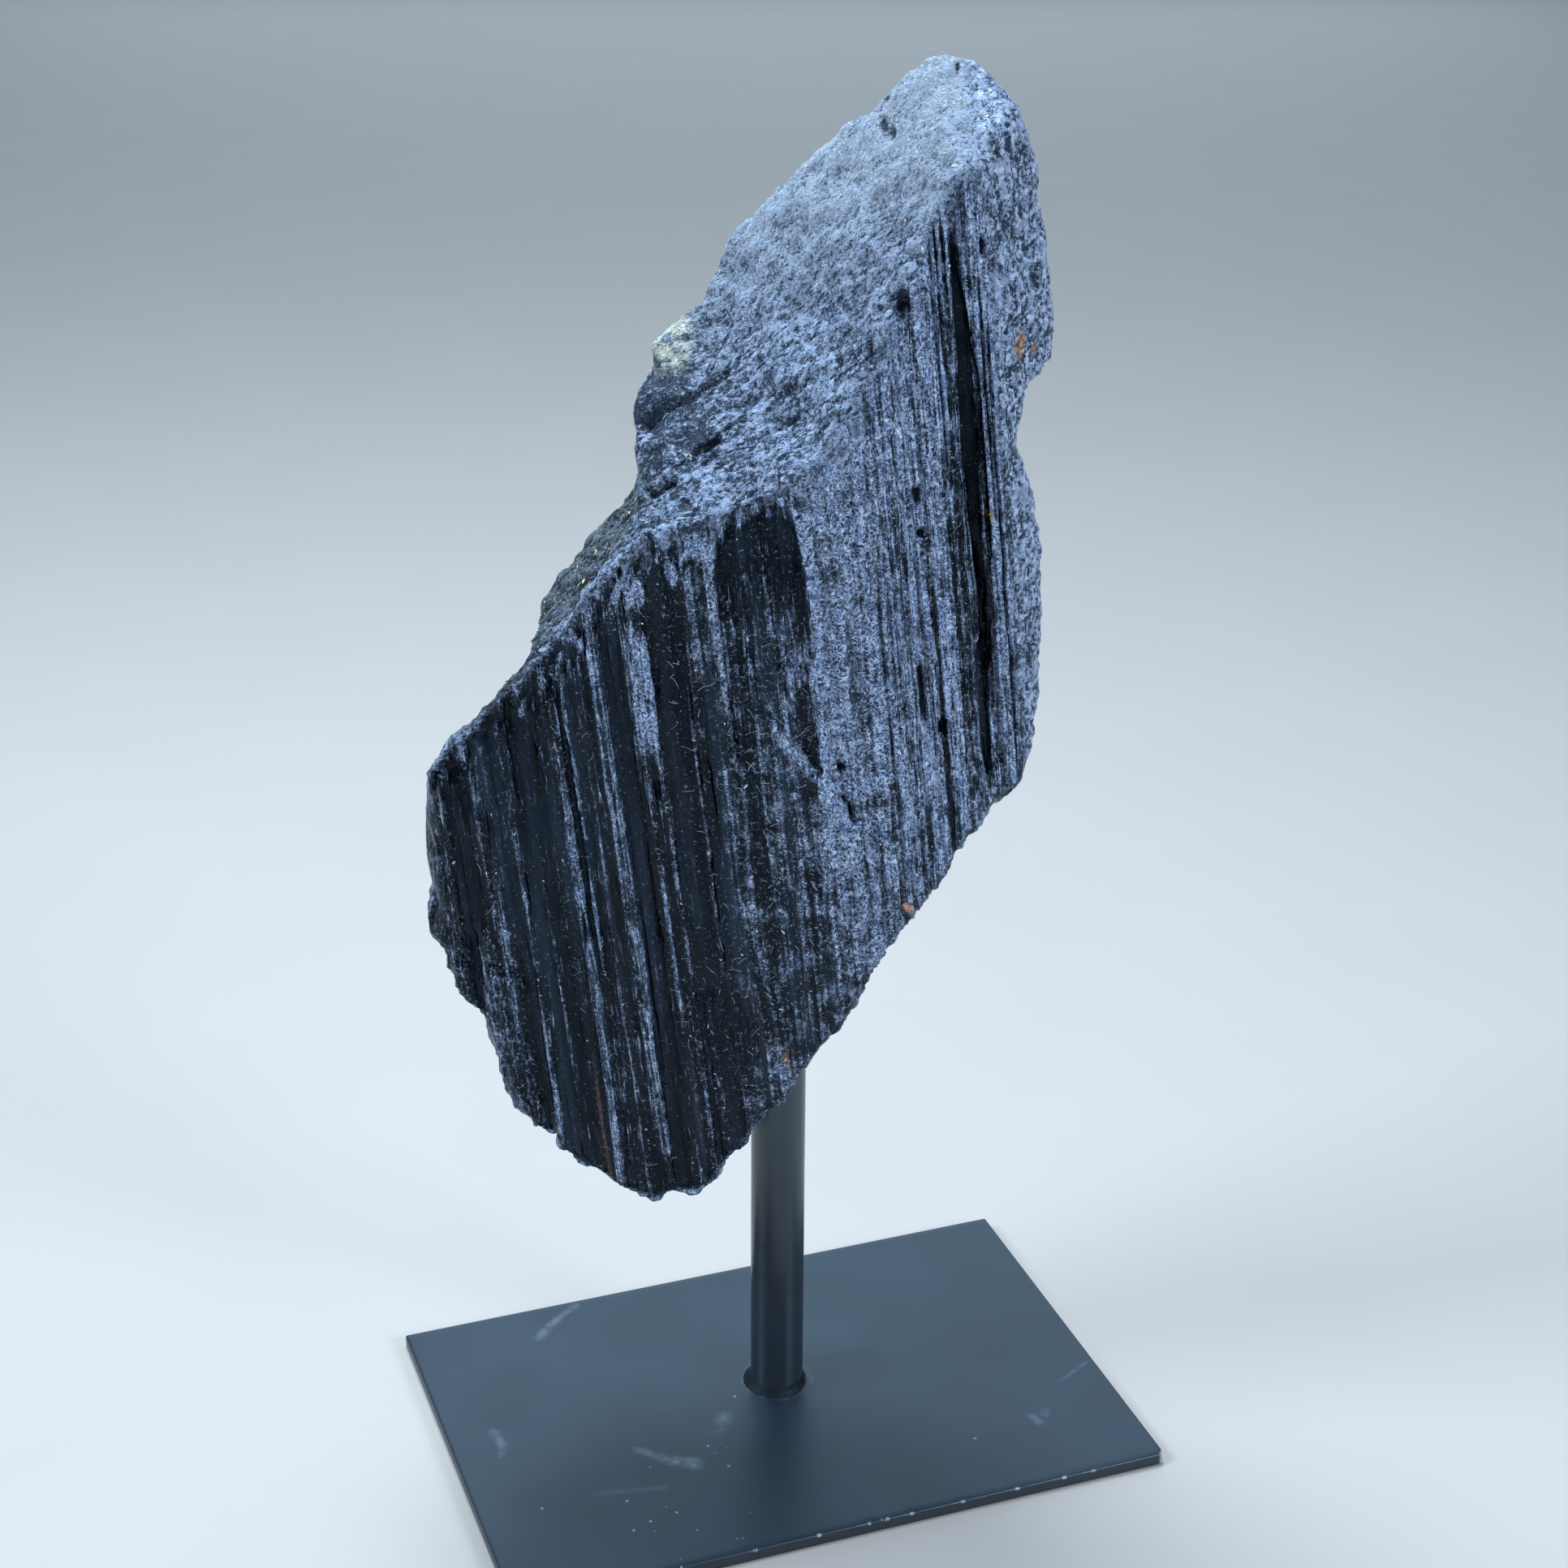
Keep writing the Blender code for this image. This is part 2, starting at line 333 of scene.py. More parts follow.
def normals_of(obj):
    values = np.empty(len(obj.data.vertices) * 3)
    obj.data.vertex_normals.foreach_get("vector", values)
    return values.reshape(-1, 3)


def edge_spans(obj):
    """The two point numbers of each edge, and the way from one to the other in mm."""
    ends = np.empty(len(obj.data.edges) * 2, dtype=int)
    obj.data.edges.foreach_get("vertices", ends)
    ends = ends.reshape(-1, 2)
    points = points_of(obj)
    return ends, points[ends[:, 1]] - points[ends[:, 0]]


def store(obj, name, values):
    """Keeps a value of 0 to 1 on each point, for the shader to read."""
    values = np.clip(values, 0, 1)
    attribute = obj.data.attributes.new(name, "FLOAT", "POINT")
    attribute.data.foreach_set("value", values.astype(np.float32))
    measure(name, values)


def measure(name, values):
    """Prints what a mask covers, or how far something stands out in mm."""
    print(f"{name}: {values.mean():.3f} on average, {values.max():.2f} at most")


# %% Slopes and noise
def ramp(value, low, high):
    """Rises smoothly from 0 at low to 1 at high."""
    share = np.clip((value - low) / (high - low), 0, 1)
    return share * share * (3 - 2 * share)


def clouds(points, size, seed=0, octaves=1, long=1.0):
    """Smooth noise of about -1 to 1. Its lumps are size mm wide, and long times that in Z."""
    spots = points / (size, size, size * long) + 31.7 * seed
    return np.array([noise.fractal(spot, 1.0, 2.0, octaves) for spot in spots.tolist()])


print("modelling helpers ready")

# %% [markdown]
# ## The stone's body
#
# Schorl grows as a bundle of long parallel crystals. Their sides are ruled from end to end with
# fine lines, and where they snapped off, the ends are dull and grainy. The CAD solid has the
# block's flats, steps and grooves in a few thousand facets, far too few for the lines. A copy of
# it is turned so that its Z is the crystals' long axis, and made of small even faces by a voxel
# remesh. The copy is first squeezed along Z, so that the stretched-back faces are narrow across
# the lines and long beside them. On the striated front, each edge across the lines is then cut
# once more, so that a third of a millimetre is spent only where it shows.

# %% The crystal's own frame
STONE_PLACE = Vector((2.4, 4.7, 185)) * MM
STONE_TURN = math.radians(-20.1)
STONE_LEAN = math.radians(-6.3)
crystal_frame = (
    Matrix.Translation(STONE_PLACE) @ Euler((0, STONE_LEAN, STONE_TURN)).to_matrix().to_4x4()
)
print("the crystals point along", [round(share, 2) for share in crystal_frame.col[2][:3]])

# %% A copy of the CAD solid in that frame
MERGE = 0.00001
stone = bpy.data.objects.new("stone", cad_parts["tourmaline"].data.copy())
bpy.context.scene.collection.objects.link(stone)
stone.data.transform(crystal_frame.inverted())
edit(stone)
bpy.ops.mesh.remove_doubles(threshold=MERGE)
close_edit()
print("merged copy:", len(stone.data.vertices), "points")

# %% Even faces, narrow across the lines
GRID = 0.66 * MM
SQUEEZE = 2.6
edit(stone)
bpy.ops.transform.resize(value=(1, 1, 1 / SQUEEZE), center_override=(0, 0, 0))
close_edit()
apply_modifier(stone, "REMESH", mode="VOXEL", voxel_size=GRID)
edit(stone)
bpy.ops.transform.resize(value=(1, 1, SQUEEZE), center_override=(0, 0, 0))
close_edit()
apply_modifier(stone, "SMOOTH", factor=0.5, iterations=5)
print("remeshed:", len(stone.data.polygons), "faces")

# %% Twice as many columns on the striated front
FRONT_FACING = 0.9
ACROSS = 0.8
ends, span = edge_spans(stone)
span /= np.linalg.norm(span, axis=1)[:, None] + 1e-9
faces_front = -normals_of(stone)[ends].mean(axis=1)[:, 1] > FRONT_FACING
split_edges(stone, faces_front & (np.abs(span[:, 0]) > ACROSS), cuts=1)
triangles = sum(len(face.vertices) - 2 for face in stone.data.polygons)
print("front split:", len(stone.data.polygons), "faces,", triangles, "triangles")

# %% [markdown]
# ## The stone's relief
#
# The surface is moved in code, because no modifier can follow a plan of where each crystal lies.
# The plan is kept in the stone's own frame: X across the striated face, Z along the crystals.
# Masks first say what kind of surface a point is on. A face that stands along Z is striated, and
# one that cuts across Z is broken. No edge between two kinds is straight, so slow noise makes it
# wander and quick noise frays it.

# %% Masks from the shape
START = points_of(stone)
FACING = normals_of(stone)
X, Y, Z = START.T
tilt = FACING[:, 2] + 0.09 * clouds(START, 4, seed=41, octaves=3)
cut_across = np.maximum(ramp(tilt, 0.14, 0.30), ramp(-tilt, 0.25, 0.50))
front = (1 - cut_across) * ramp(-FACING[:, 1], 0.72, 0.92)
wander = 0.40 * clouds(START, 9, seed=1, long=3) + 0.14 * clouds(START, 2.0, seed=20, long=4)
fray = 2.5 * clouds(START, 2.2, seed=2, long=2)

# The striated front fades into the grainy tip along a line through these spots: across, along.
FADE = ((-80, 60), (5, 60), (8, 41), (20, 55), (27, 70), (33, 85), (36, 91), (48, 103), (60, 104))
fade_line = np.interp(X, *zip(*FADE))
grainy = ramp(Z + fray - fade_line, -9, 5)
right_strip = ramp(X + wander + 0.4 * fray, 46.2, 48.2) * ramp(-FACING[:, 1], -0.5, -0.1)
broken = np.maximum(cut_across, grainy * ramp(-FACING[:, 1], 0.2, 0.5))
broken = np.maximum(broken, right_strip)
measure("front", front)
measure("broken", broken)

# %% [markdown]
# The front is a row of bands, each the flat side of one crystal. Some stand proud, some are sunk,
# some are clean and glossy, and some are rough and hold pale dust. Each band below is: left and
# right edge, lowest and highest point, how far it stands out, and how dusty it is.

# %% The bands of the front
BANDS = (
    (-71.0, -66.4, -90, -6, -0.8, 0.12),
    (-66.4, -60.0, -100, 0, 0.0, 0.22),
    (-64.7, -63.9, -90, -8, 0.2, 0.70),
    (-62.7, -62.1, -50, -12, 0.1, 0.60),
    (-69.0, -61.0, -110, -50, 0.3, 0.50),
    (-60.0, -55.6, -110, 0, -0.3, 0.16),
    (-57.9, -55.6, -20, 0, 0.3, 0.34),
    (-57.9, -56.6, -100, -22, 0.2, 0.60),
    (-55.6, -49.8, -110, 0, -0.6, 0.08),
    (-53.2, -52.6, -100, -35, -0.2, 0.45),
    (-49.8, -46.6, -45, 10, 0.1, 0.26),
    (-49.8, -46.6, -125, -45, -0.2, 0.18),
    (-46.6, -44.6, -118, -6, 0.4, 0.66),
    (-44.6, -43.4, -110, 8, -0.3, 0.24),
    (-43.4, -42.5, -60, 10, 0.3, 0.68),
    (-42.5, -40.6, -112, 12, -0.2, 0.24),
    (-40.6, -39.9, -112, 12, 0.1, 0.62),
    (-39.9, -37.2, -120, 14, 0.0, 0.22),
    (-37.2, -34.4, -105, 16, 0.3, 0.63),
    (-34.4, -30.2, -125, 16, -0.6, 0.12),
    (-30.2, -26.0, -112, -70, 0.3, 0.30),
    (-29.0, -24.8, -12, 16, 0.3, 0.88),
    (-30.2, -24.6, -70, -12, -0.1, 0.20),
    (-28.9, -27.6, -75, -10, 0.3, 0.56),
    (-25.8, -24.8, -110, -10, 0.2, 0.56),
    (-24.6, -17.4, -112, 31, -0.4, 0.20),
    (-23.2, -20.6, -108, -66, 0.1, 0.32),
    (-18.6, -17.8, -60, 4, 0.0, 0.50),
    (-17.4, -14.0, -90, 31, -0.1, 0.28),
    (-16.4, -14.6, 4, 27, 0.2, 0.70),
    (-14.0, -12.0, -112, 31, 0.0, 0.38),
    (-12.0, -10.0, -90, 31, 0.4, 0.64),
    (-14.0, 4.4, -112, -14, -0.1, 0.46),
    (6.6, 9.6, -25, 37, 0.4, 0.78),
    (4.4, 8.2, -90, -22, 0.3, 0.66),
    (9.6, 22.8, -80, 55, 0.3, 0.66),
    (8.2, 9.6, -80, -25, 0.3, 0.66),
    (20.6, 21.3, -40, 50, 0.0, 0.42),
    (22.8, 27.4, -60, 76, 0.5, 0.58),
    (27.4, 30.8, -60, 78, 0.1, 0.78),
    (27.2, 28.2, -9, 3, -0.8, 0.10),
    (31.0, 32.0, -45, 20, -0.3, 0.20),
    (31.1, 31.8, 20, 66, -0.1, 0.48),
    (32.2, 35.6, -45, 84, 0.2, 0.72),
    (35.6, 38.6, -45, 48, 0.3, 0.34),
    (35.6, 39.8, 48, 96, 0.3, 0.86),
    (36.2, 36.7, 40, 90, -0.3, 0.38),
    (37.4, 37.9, 52, 94, -0.3, 0.34),
    (38.5, 39.0, 30, 95, -0.4, 0.30),
    (40.8, 43.0, -19, 24, -0.5, 0.62),
    (43.0, 44.0, -25, 25, 0.3, 0.56),
    (44.6, 47.4, -40, 25, 0.2, 0.86),
    (43.8, 47.4, 25, 95, 0.2, 0.86),
    (44.7, 45.1, 30, 84, -0.3, 0.38),
    (45.6, 46.1, -30, 70, -0.5, 0.25),
)
EDGE = 0.26
rise = np.zeros(len(START))
dust = np.full(len(START), 0.4)


def within(value, low, high, soft):
    return ramp(value, low - soft, low + soft) * (1 - ramp(value, high - soft, high + soft))


for left, right, low, high, out, dusty in BANDS:
    inside = within(X + wander, left, right, EDGE) * within(Z + fray, low, high, 2.5)
    rise += (out - rise) * inside
    dust += (dusty - dust) * inside
print(len(BANDS), "bands laid out")

# %% [markdown]
# Larger features break the bands. The first is a smooth sunken window with a rounded top, in the
# middle of the face. Its left edge is straight, its right edge follows a few spots, and it fades
# out at its foot.

# %% Window
WINDOW_LEFT, WINDOW_TOP, WINDOW_FOOT = -9.8, 39.3, -12
# The right edge runs through these spots: along, across.
WINDOW_RIGHT = ((-16, 5.3), (-8, 6.7), (0, 7.3), (12, 7.9), (24, 7.7), (38, 5.9))
top = WINDOW_TOP - 0.22 * np.maximum(0, -4 - X) ** 2 - 0.9 * np.maximum(0, X - 3.6) ** 1.6
window = ramp(X + 0.5 * wander - WINDOW_LEFT, -0.3, 0.3)
low_down = 1 - ramp(Z, 8, 30)
past_right = X + 0.3 * wander + 0.25 * fray * low_down - np.interp(Z, *zip(*WINDOW_RIGHT))
window *= 1 - ramp(past_right / (0.3 + 0.8 * low_down), -1, 1)
window *= 1 - ramp(Z + 0.2 * fray - top, -0.6, 0.6)
window *= ramp(Z + 2 * fray, WINDOW_FOOT - 8, WINDOW_FOOT + 8)
rise += (0.5 * low_down - 1.1 - rise) * window
dust += (0.41 - 0.27 * ramp(Z, 10, 30) - dust) * window
measure("window", window)

# %% [markdown]
# A rough scar slants down from the window's right side, with a narrow crack along it. It stands
# proud and holds the palest dust.

# %% Scar
# The scar's left edge runs through these spots: across, along.
SCAR = ((-1, -9), (2, -14), (5, -19), (8, -25), (9, -34))
scar_across = np.interp(-Z, [-along for _, along in SCAR], [across for across, _ in SCAR])
scar_across += 1.2 * clouds(START, 5, seed=37)
scar = within(X - scar_across, -0.4, 2.4 + 1.6 * ramp(-Z, 12, 26), 0.7) * within(Z, -38, -8, 3)
scar *= 0.6 + 0.4 * ramp(clouds(START, 2.4, seed=38, octaves=2), -0.35, 0.1)
rise += 1.2 * scar * (1 - ramp(X - scar_across, 0.5, 3.2))
crack = within(X - scar_across + 3 * wander, 2.9, 3.7, 0.4) * within(Z, -28, -15, 2)
crack *= ramp(clouds(START, 3, seed=30), -0.25, 0.15)
rise -= 0.8 * crack
dust += (0.95 - dust) * scar
dust *= 1 - 0.9 * crack
measure("scar", scar)

# %% [markdown]
# Where the striated front meets the break above it, the crystals end one by one. That gives the
# edge short teeth, and dust sits on them.

# %% Toothed rim
# The rim runs through these spots: across, along.
RIM = ((-70, -12), (-60, -4), (-50, 3), (-44, 8), (-35, 17), (-33, 22), (-24, 28), (-22, 31),
       (-10, 32), (-8, 35), (-2, 40), (4, 40), (6, 36), (20, 55), (60, 104))
rim_line = np.interp(X, *zip(*RIM))
rim = within(Z + 0.7 * fray - rim_line, -2.6, 4, 0.8) * (1 - ramp(X, 4, 9))
teeth = ramp(clouds(START, 1.8, seed=31, long=2.2), -0.1, 0.35)
rise += rim * (0.9 * teeth - 0.7)
dust += (0.45 + 0.45 * teeth - 0.3 * (1 - ramp(X, -52, -36)) - dust) * rim
measure("rim", rim)

# %% [markdown]
# Near the right edge a whole crystal has come away and left a long black groove. It is clean
# inside, and tapers to nothing at both ends.

# %% Groove
# Each row is: how far along, the left edge there and the right edge.
GROOVE = (
    (-24, 39.4, 39.6),
    (-16, 38.8, 40.6),
    (1, 39.0, 41.2),
    (16, 39.1, 41.6),
    (24, 39.6, 43.5),
    (54, 40.2, 43.6),
    (66, 40.3, 42.7),
    (76, 40.6, 41.9),
    (87, 40.6, 40.8),
)
heights, groove_left, groove_right = zip(*GROOVE)
in_groove = ramp(X + 0.3 * wander - np.interp(Z, heights, groove_left), -0.35, 0.35)
in_groove *= 1 - ramp(X + 0.3 * wander - np.interp(Z, heights, groove_right), -0.35, 0.35)
groove = in_groove * within(Z, -23, 86, 1.5)
rise -= 1.5 * groove
dust *= 1 - 0.88 * groove
measure("groove", groove)

# %% [markdown]
# A handful of pits is left where grains of other minerals fell out. They are taller than wide, and
# dark inside: their dust is taken away, as painted shade.

# %% Pits
# Each pit is: across, along, its half width and its depth.
PITS = (
    (30.5, 75.5, 1.9, 1.8),
    (31.5, 109, 0.7, 0.5),
    (17.8, 64, 0.7, 1.2),
    (24, 67, 0.8, 1.0),
    (46.5, 84, 1.0, 1.4),
    (48, 80, 0.9, 1.4),
    (51.5, 87, 1.0, 1.0),
    (31.3, -11, 1.3, 1.2),
    (30.1, 38, 1.3, 1.2),
    (30.2, 30, 1.0, 1.2),
    (10.5, -16, 0.9, 1.0),
    (-27, -19, 1.1, 1.0),
    (30.4, 104.0, 0.9, 0.7),
    (31.8, 103.2, 0.8, 0.6),
    (17.7, 64.8, 0.8, 1.0),
    (44.5, 112.8, 0.6, 0.5),
)
pitted = np.zeros(len(START))
sunk = np.zeros(len(START))
for across, along, wide, deep in PITS:
    away = np.hypot(X - across, (Z - along) / 1.8)
    pit = (1 - ramp(away + 0.3 * wander, 0.4 * wide, wide)) * (FACING[:, 1] < 0)
    pitted = np.maximum(pitted, pit)
    sunk = np.maximum(sunk, deep * pit)
rise -= sunk
# Painted shade: the pits lose their dust.
dust *= 1 - pitted
measure("pits", sunk)

# %% [markdown]
# The fine lines are noise that is pulled out twenty to fifty times along the crystals. Cutting it
# into steps gives flat facets with crisp edges, as on real striated faces. Where one of the noises
# crosses zero, a narrow slit opens between two crystals, and most of its dust is taken away, as
# painted shade in the slit. Dust keeps to the rough ridges.


# %% Striations
def terraces(value, count, soft=0.16):
    """Cuts a smooth value into flat steps with short slopes between them."""
    scaled = value * count
    foot = np.floor(scaled)
    return (foot + ramp(scaled - foot, 0.5 - soft, 0.5 + soft)) / count


RISE_SCALE = 1.5
rise *= RISE_SCALE
ruled = 0.90 * terraces(clouds(START, 4.2, seed=3, long=24), 4)
ruled += 0.50 * terraces(clouds(START, 1.7, seed=4, long=38), 3)
ridges = clouds(START, 0.8, seed=5, long=50)
ruled += 0.20 * ridges
clean = (1 - ramp(dust, 0.20, 0.34)) * front
ruled *= 1 - 0.35 * clean - 0.4 * window
slit = 1 - ramp(np.abs(clouds(START, 3.4, seed=21, long=20)), 0.02, 0.09)
slit *= ramp(clouds(START, 7, seed=22, long=3), 0.1, 0.35)
slit *= 1 - 0.75 * within(X, -12, 38, 4)
ruled -= 0.55 * slit
grains = clouds(START, 0.8, seed=6, octaves=2)
ruled += 0.17 * grains * ramp(dust, 0.35, 0.75)
# Painted shade: the slits lose most of their dust.
dust *= 1 - 0.65 * slit
dust += 0.35 * ridges * front * (1 - clean * 0.5)
# More dust towards the upper right and less towards the lower left: partly thinner dust low down,
# partly painted light that falls off towards the lower left.
dust += 0.10 * ramp(X + 0.4 * Z, 5, 35) * front * (1 - clean) * (1 - groove)
dust -= 0.11 * (1 - ramp(X + 0.3 * Z, -30, 5)) * front
measure("lines", ruled)

# %% [markdown]
# In a few spots the dust is as dense as frost. These spots are partly dense dust and partly
# painted glints.

# %% Frosted spots and painted glints
# Each spot is: across, along, half width and half height.
FROST_AND_GLINTS = (
    (35.4, 85.5, 1.6, 2.2),
    (34.0, 4.0, 1.5, 4.0),
    (27.9, 50.3, 1.4, 1.8),
    (24.0, 52.0, 1.0, 1.5),
    (-26.3, 23.9, 2.6, 4.5),
    (-18.5, 27.0, 1.4, 3.0),
    (8.9, 25.0, 1.3, 8.0),
    (10.5, 19.7, 2.0, 2.0),
    (-27.9, -3.6, 1.5, 7.0),
    (42.3, 24.8, 1.6, 1.3),
)
# Dense dust at each spot, which also paints a bright glint there.
for across, along, wide, tall in FROST_AND_GLINTS:
    away = np.hypot((X + 0.5 * fray - across) / wide, (Z - along) / tall)
    dust += (1.35 - dust) * (1 - ramp(away, 0.4, 1.2)) * front
print(len(FROST_AND_GLINTS), "frosted spots")

# %% [markdown]
# The broken ends have a fine grain that runs one way, up to the right, like the nap of a cloth.
# Noise drawn out along that direction gives it. Towards the tip the grain is fine, and low down
# on the left it is coarser. The strip along the right edge is a break too, but its grains stand
# upright.

# %% Broken ends
NAP = np.array((0.69, -0.46, 0.56))


def along_nap(points, times):
    """The points squeezed along the nap, so that noise on them is drawn out that many times."""
    return points - np.outer(points @ NAP, NAP) * (1 - 1 / times)


nap = along_nap(START, 3.0)
fine_tip = ramp(Z - 0.5 * X + 5 * clouds(START, 9, seed=43, octaves=2), 54, 92)
fine_tip *= 1 - ramp(X, 44, 50)
coarse = 1 - ramp(X + 0.6 * Z, 18, 52)
hackly = 0.5 * clouds(nap, 9, seed=7)
crests = (0.40 + 0.30 * coarse) * clouds(nap, 3.0, seed=8, octaves=2)
crests += (0.32 + 0.10 * coarse) * clouds(nap, 1.2, seed=9, octaves=2)
crests += 0.22 * clouds(START, 0.9, seed=23)
crests *= 1 - 0.25 * fine_tip
hackly += crests + 0.35 * clouds(START, 5, seed=35, octaves=2)
cracks = 1 - ramp(np.abs(clouds(nap, 4.5, seed=24, octaves=2)), 0.01, 0.11)
cracks *= ramp(clouds(START, 8, seed=25), -0.05, 0.3) * (1 - 0.6 * fine_tip)
hackly -= 0.5 * cracks
pores = ramp(clouds(nap, 1.2, seed=10, octaves=2), 0.55, 0.70) * (1 - 0.5 * fine_tip)
hackly -= 0.4 * pores
strip_lumps = 0.7 * terraces(clouds(START, 2.2, seed=26, octaves=2, long=3), 3)
strip_lumps += 0.45 * clouds(START, 1.0, seed=27, octaves=2, long=1.5)
strip_gaps = 1 - ramp(np.abs(clouds(START, 3.0, seed=39, long=3.5)), 0.02, 0.12)
strip_lumps -= 0.6 * strip_gaps * ramp(clouds(START, 6, seed=40), 0.0, 0.3)
hackly += (strip_lumps + 0.5 * clouds(START, 6, seed=36) - hackly) * right_strip
crests += (1.3 * strip_lumps - crests) * right_strip
measure("break", hackly)

# %% [markdown]
# Three deep creases run across the coarse part of the break. Each follows a line through a few
# spots, and ragged noise makes its edge uneven.

# %% Creases
# Each crease is: the spots it runs through, how wide and how deep it is.
CREASES = (
    (((-21.3, 2.9, 49.6), (-17.6, 3.1, 52.0), (-13.8, 3.2, 53.4), (-5.5, 4.5, 57.5)), 1.7, 1.5),
    (((-11.8, -8.9, 46.4), (-9.0, -8.6, 47.3), (-7.1, -8.1, 48.7)), 1.0, 1.5),
    (((-22.2, -11.5, 40.8), (-20.1, -13.2, 40.0), (-16.9, -11.9, 41.9)), 1.3, 1.7),
)


def distance_to(path):
    """How far each point of the stone is from a line through several spots."""
    nearest = np.full(len(START), 1e9)
    for first, last in zip(path, path[1:]):
        run = np.subtract(last, first)
        share = np.clip((START - first) @ run / (run @ run), 0, 1)
        nearest = np.minimum(nearest, np.linalg.norm(START - first - share[:, None] * run, axis=1))
    return nearest


ragged = 0.5 * wander + 0.35 * clouds(START, 1.6, seed=42, octaves=2)
crease = np.zeros(len(START))
for path, wide, deep in CREASES:
    valley = 1 - ramp(distance_to(path) + ragged, 0.1 * wide, wide)
    crease = np.maximum(crease, valley)
    hackly -= deep * valley
print(len(CREASES), "creases laid out")

# %% [markdown]
# The lower left edge and the foot aren't flat breaks. There the ends of many thin crystals stick
# out as knobs of different sizes, so three sizes of noise are added up, and the middle one is cut
# into steps.

# %% Knobs along the lower left edge
knobs = within(X, -90, -60, 3) * (1 - ramp(Z, -55, -35))
knobs = np.maximum(knobs, ramp(-FACING[:, 2], 0.1, 0.4) * (1 - ramp(Z, -40, -30)))
lumps = 1.5 * clouds(START, 8, seed=11, octaves=2) + 0.9 * terraces(clouds(START, 3.2, seed=32), 2)
lumps += 0.45 * clouds(START, 1.5, seed=33, octaves=2)
lumps *= knobs * (0.6 + 0.8 * ramp(clouds(START, 13, seed=34), -0.3, 0.3))
measure("knobs", lumps)

# %% [markdown]
# Most points move straight out along their normal. A few rounded lumps also bulge sideways,
# above all at the upper left, where the break runs over a rib of the bundle. Round the drilled
# hole nothing moves, so the post keeps its clearance.

# %% Move the points
POST_AT = (2.4, 4.7)
STILL_WITHIN, FREE_FROM = 7.0, 9.0
# Each bulge is: its middle, how far it reaches, and where it pushes.
BULGES = (
    ((45, -4, 116), 9, (0.6, 0, 1.9)),
    ((-75, -14, -49), 6, (-1.8, 0, 0)),
    ((51, -17, 22), 9, (1.0, 0, 0)),
    ((-13, 18, 61), 10, (-3.2, 0.5, 1.6)),
    ((-20, 8, 54), 9, (-1.8, 0, 0.9)),
    ((-18, -6, 46.5), 7, (-0.9, -0.6, 0.6)),
    ((-17, 7, 55), 5.5, (-0.6, -0.5, 1.3)),
    ((-15, -3, 49.5), 6, (-0.4, -0.6, 1.1)),
)
upward = np.array(crystal_frame.inverted().to_3x3() @ Vector((0, 0, 1)))
post_foot = crystal_frame.inverted() @ (Vector((*POST_AT, 0)) * MM) / MM
from_post = START - np.array(post_foot)
from_post -= np.outer(from_post @ upward, upward)
free = ramp(np.linalg.norm(from_post, axis=1), STILL_WITHIN, FREE_FROM)
free = np.maximum(free, ramp(Z, -40, -30))


def away_from(*spot):
    """How far each point of the stone is from a spot."""
    return np.linalg.norm(START - spot, axis=1)


height = (rise * front + ruled) * (1 - broken) + (hackly - sunk) * broken + lumps
moved = START + FACING * (height * free)[:, None]
for centre, reach, push in BULGES:
    near = 1 - ramp(away_from(*centre), 0, reach)
    moved += near[:, None] * np.array(push)
move_points(stone, moved)
print("moved by up to", round(float(np.abs(height).max()), 2), "mm")

# %% [markdown]
# Each point also keeps what the finish needs to know: how dusty it is, whether it is on a broken
# face, and where there is rust, olive mica or the pale rock that the crystals grew in. Dust lies
# thickest on what faces the sky. Creases, cracks, pores and pits get less of it and stay dark, as
# painted shade in these hollows. The two lumps at the upper left get less dust too, so that they
# come out darker.

# %% Dust for the shader
upright = np.array(crystal_frame.to_3x3())
sky = np.maximum(0, normals_of(stone) @ upright[2])
elsewhere = 0.38 + 0.28 * clouds(START, 6, seed=28, octaves=2, long=9) + 0.22 * ramp(Z, 20, 95)
darker_lumps = 0.72 * (1 - ramp(away_from(-20, 9, 54), 5, 12))
darker_lumps += (0.42 - darker_lumps) * (1 - ramp(away_from(-15, -3, 48), 5, 11))
dust_all = dust * front + elsewhere * (1 - front)
dust_all += (0.66 + 0.22 * sky - dust_all) * broken
dust_all += (0.92 - dust_all) * fine_tip * broken * 0.7
dust_all += (0.45 + 0.35 * coarse) * crests * broken
dust_all += (0.14 * ramp(Z, -45, 10) * right_strip - 0.04 * right_strip) * broken
dust_all -= 0.20 * coarse * (1 - right_strip) * broken
# Painted shade: pores, cracks and creases lose dust, and the pits below lose it too. The two lumps
# at the upper left lose some as well, so they come out darker.
dust_all *= 1 - broken * np.clip(0.5 * pores + 0.35 * cracks + 0.7 * crease + darker_lumps, 0, 1)
dust_all *= 1 - 0.85 * pitted
store(stone, "dust", dust_all)
store(stone, "broken", broken)
felted = within(X, -13, 22, 3) * ramp(Z + 4 * fray, -34, -18) + 0.8 * within(X, -24, 16, 5)
store(stone, "lined", 1 - 0.85 * np.clip(felted, 0, 1) * (1 - 0.7 * window))
store(stone, "tip", fine_tip * broken)
store(stone, "strip", right_strip * broken)

